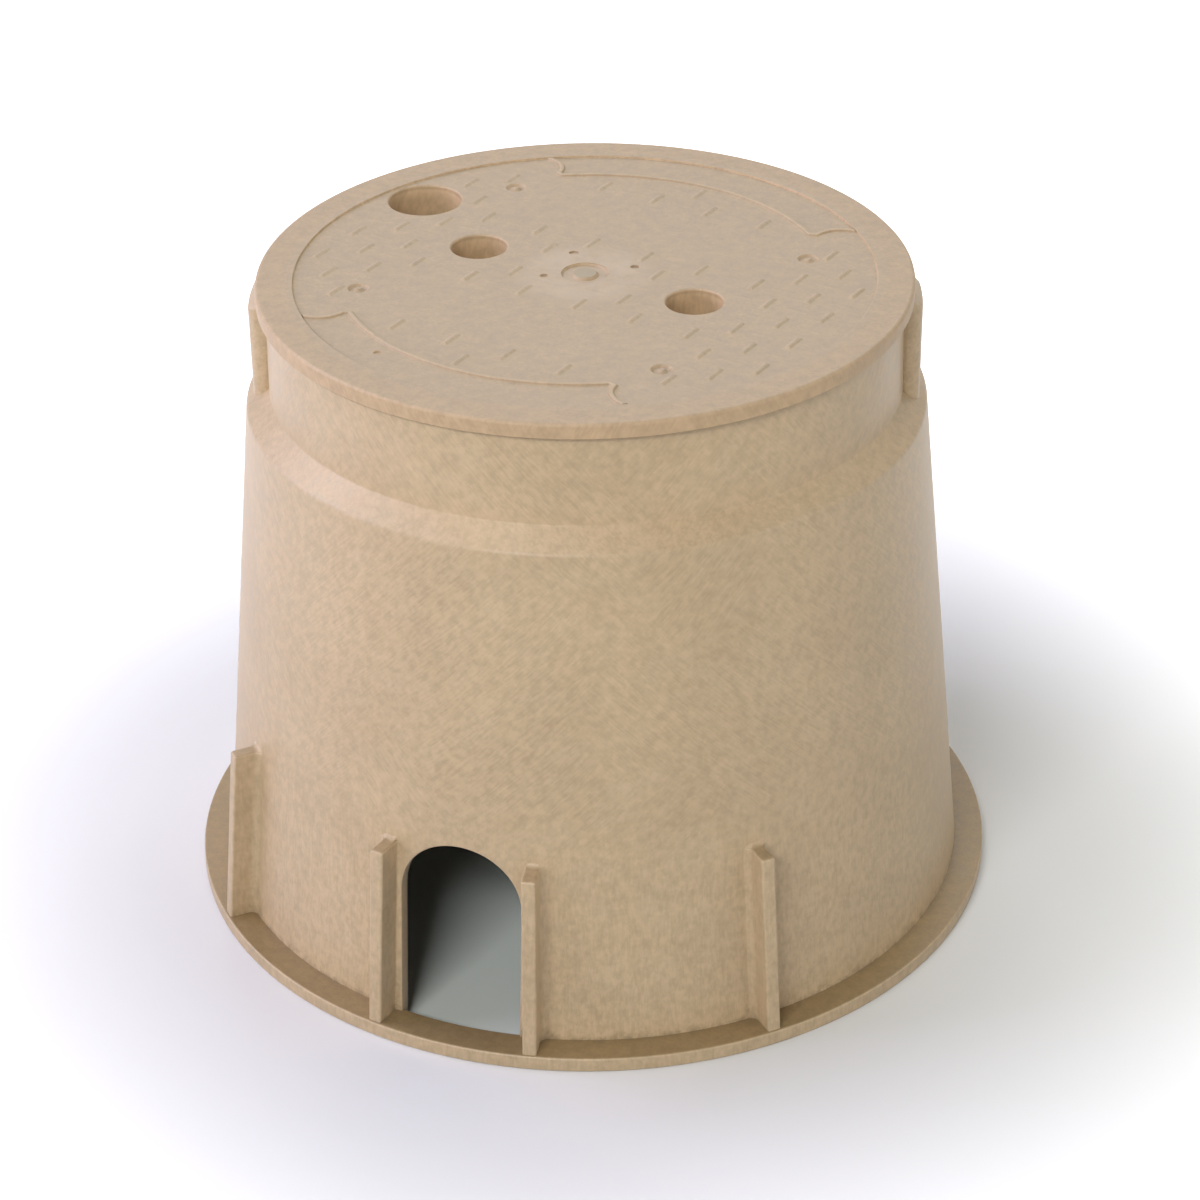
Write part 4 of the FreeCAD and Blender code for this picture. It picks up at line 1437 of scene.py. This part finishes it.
# Top colours are paler and greyer than the sides: faded by the sun, and a painted sheen.
LID_TOP_DEEP = (0.435, 0.330, 0.208, 1.0)
LID_TOP_LIGHT = (0.548, 0.418, 0.267, 1.0)
LID_BLOTCH = (0.957, 0.960, 0.965, 1.0)
LIP_INNER = 0.112
LIP_OUTER = 0.118
LIP_TOP_SHARE = 0.6
BORE_PAINTED_LIGHT = (1.24, 1.29, 1.31, 1.0)
BORE_TOP = (LID_FLOOR - 1.2) * MM
BORE_FULL = (LID_FLOOR - 2.4) * MM
RECESS_EDGE = (RECESS_RADIUS - 0.2) * MM
RECESS_FULL = (RECESS_RADIUS - 0.6) * MM
RELIEF_PAINTED_SHADE = (0.76, 0.74, 0.70, 1.0)
RELIEF_FOOT = (LID_FLOOR - 0.1) * MM
RELIEF_FULL = (LID_FLOOR + 0.1) * MM
CREST_WORN_AND_HIGHLIGHT = (1.10, 1.10, 1.08, 1.0)
CREST_START = (LID_FLOOR + 0.70) * MM
CREST_FULL = (LID_FLOOR + 0.82) * MM
GATE_BLUSH = (0.60, 0.475, 0.33, 1.0)
BLUSH_RADIUS = 0.031
BLUSH_FULL = 0.016
BLUSH_SHARE = 0.75
STUB_GREY = (0.38, 0.315, 0.20, 1.0)
STUB_RADIUS = 0.0052
STUB_FULL = 0.0042
STUB_SHARE = 0.8
LID_RUBBED_EDGE_AND_HIGHLIGHT = (0.65, 0.52, 0.37, 1.0)
LID_EDGE_SHARE = 0.1
LID_DIRT_AND_SHADE = (0.29, 0.20, 0.11, 1.0)
LID_SPECK_SHARE = 0.25
LID_CORNER_SHARE = 0.6
BELOW_RANGE = (-0.4, -0.8)
BELOW_SHADE_SHARE = 0.85
LID_ROUGHNESS = (0.48, 0.6)
LID_BUMP = 0.25


def cover_plastic():
    """Tan foam plastic with a paler top, faded by the sun and with a painted sheen, painted shade and
    highlights on its tread, painted light in its holes, painted shade below and a pale ring round the
    middle gate.
    """
    material, tree, shader = new_material("lid_plastic")
    flow, wear_and_light = place_groups(tree, LID_FLOW, LID_WEAR_AND_LIGHT)
    place = object_place(tree)
    height = upward(tree, place)
    distance = vector_node(tree, "LENGTH", from_axis(tree, place))["Value"]
    within_lip = ramp(tree, distance, LIP_OUTER, LIP_INNER)
    recess = ramp(tree, distance, RECESS_EDGE, RECESS_FULL)
    side = mix_colour(tree, flow["Fibres"], LID_SIDE_DEEP, LID_SIDE_LIGHT)
    # Hole walls are made lighter: painted light.
    hole_wall = times(tree, ramp(tree, height, BORE_TOP, BORE_FULL), within_lip)
    side = mix_colour(tree, hole_wall, side, BORE_PAINTED_LIGHT, "MULTIPLY")
    # Sides of the dashes and beads are made darker: painted shade.
    relief = times(tree, recess, ramp(tree, height, RELIEF_FOOT, RELIEF_FULL))
    side = mix_colour(tree, relief, side, RELIEF_PAINTED_SHADE, "MULTIPLY")
    top = mix_colour(tree, flow["Fibres"], LID_TOP_DEEP, LID_TOP_LIGHT)
    # Crests of the beads are made paler: worn plastic and a painted highlight.
    crest = times(tree, recess, ramp(tree, height, CREST_START, CREST_FULL))
    top = mix_colour(tree, crest, top, CREST_WORN_AND_HIGHLIGHT, "MULTIPLY")
    # The top takes paler, greyer colours than the sides: sun-fading and a painted sheen.
    top_share = times(tree, wear_and_light["Top"], ramp(tree, distance, LIP_OUTER, LIP_INNER, LIP_TOP_SHARE, 1.0))
    colour = mix_colour(tree, top_share, side, top)
    colour = mix_colour(tree, flow["Blotches"], colour, LID_BLOTCH, "MULTIPLY")
    blush = ramp(tree, distance, BLUSH_RADIUS, BLUSH_FULL, 0.0, BLUSH_SHARE)
    blush = times(tree, times(tree, blush, flow["Blotches"]), wear_and_light["Top"])
    colour = mix_colour(tree, blush, colour, GATE_BLUSH)
    stub = ramp(tree, distance, STUB_RADIUS, STUB_FULL, 0.0, STUB_SHARE)
    colour = mix_colour(tree, times(tree, stub, wear_and_light["Top"]), colour, STUB_GREY)
    # Convex edges are made paler: rubbed plastic and a painted highlight.
    colour = mix_colour(tree, times(tree, wear_and_light["Edge"], LID_EDGE_SHARE), colour, LID_RUBBED_EDGE_AND_HIGHLIGHT)
    colour = mix_colour(tree, times(tree, flow["Specks"], LID_SPECK_SHARE), colour, LID_DIRT_AND_SHADE)
    # Corners are darkened: dirt and painted shade.
    colour = mix_colour(tree, times(tree, wear_and_light["Corner"], LID_CORNER_SHARE), colour, LID_DIRT_AND_SHADE)
    # The underside is painted dark: painted shade.
    below = ramp(tree, upward(tree, skin_normal(tree)), *BELOW_RANGE, 0.0, BELOW_SHADE_SHARE)
    colour = mix_colour(tree, below, colour, PAINTED_SHADE_BROWN)
    surface(tree, shader, colour, flow, LID_ROUGHNESS, LID_BUMP)
    return material


lid_material = cover_plastic()
for piece, material in ((box_body, body_material), (lid, lid_material)):
    piece.data.materials.clear()
    piece.data.materials.append(material)
print("material:", lid_material.name, len(lid_material.node_tree.nodes), "nodes")
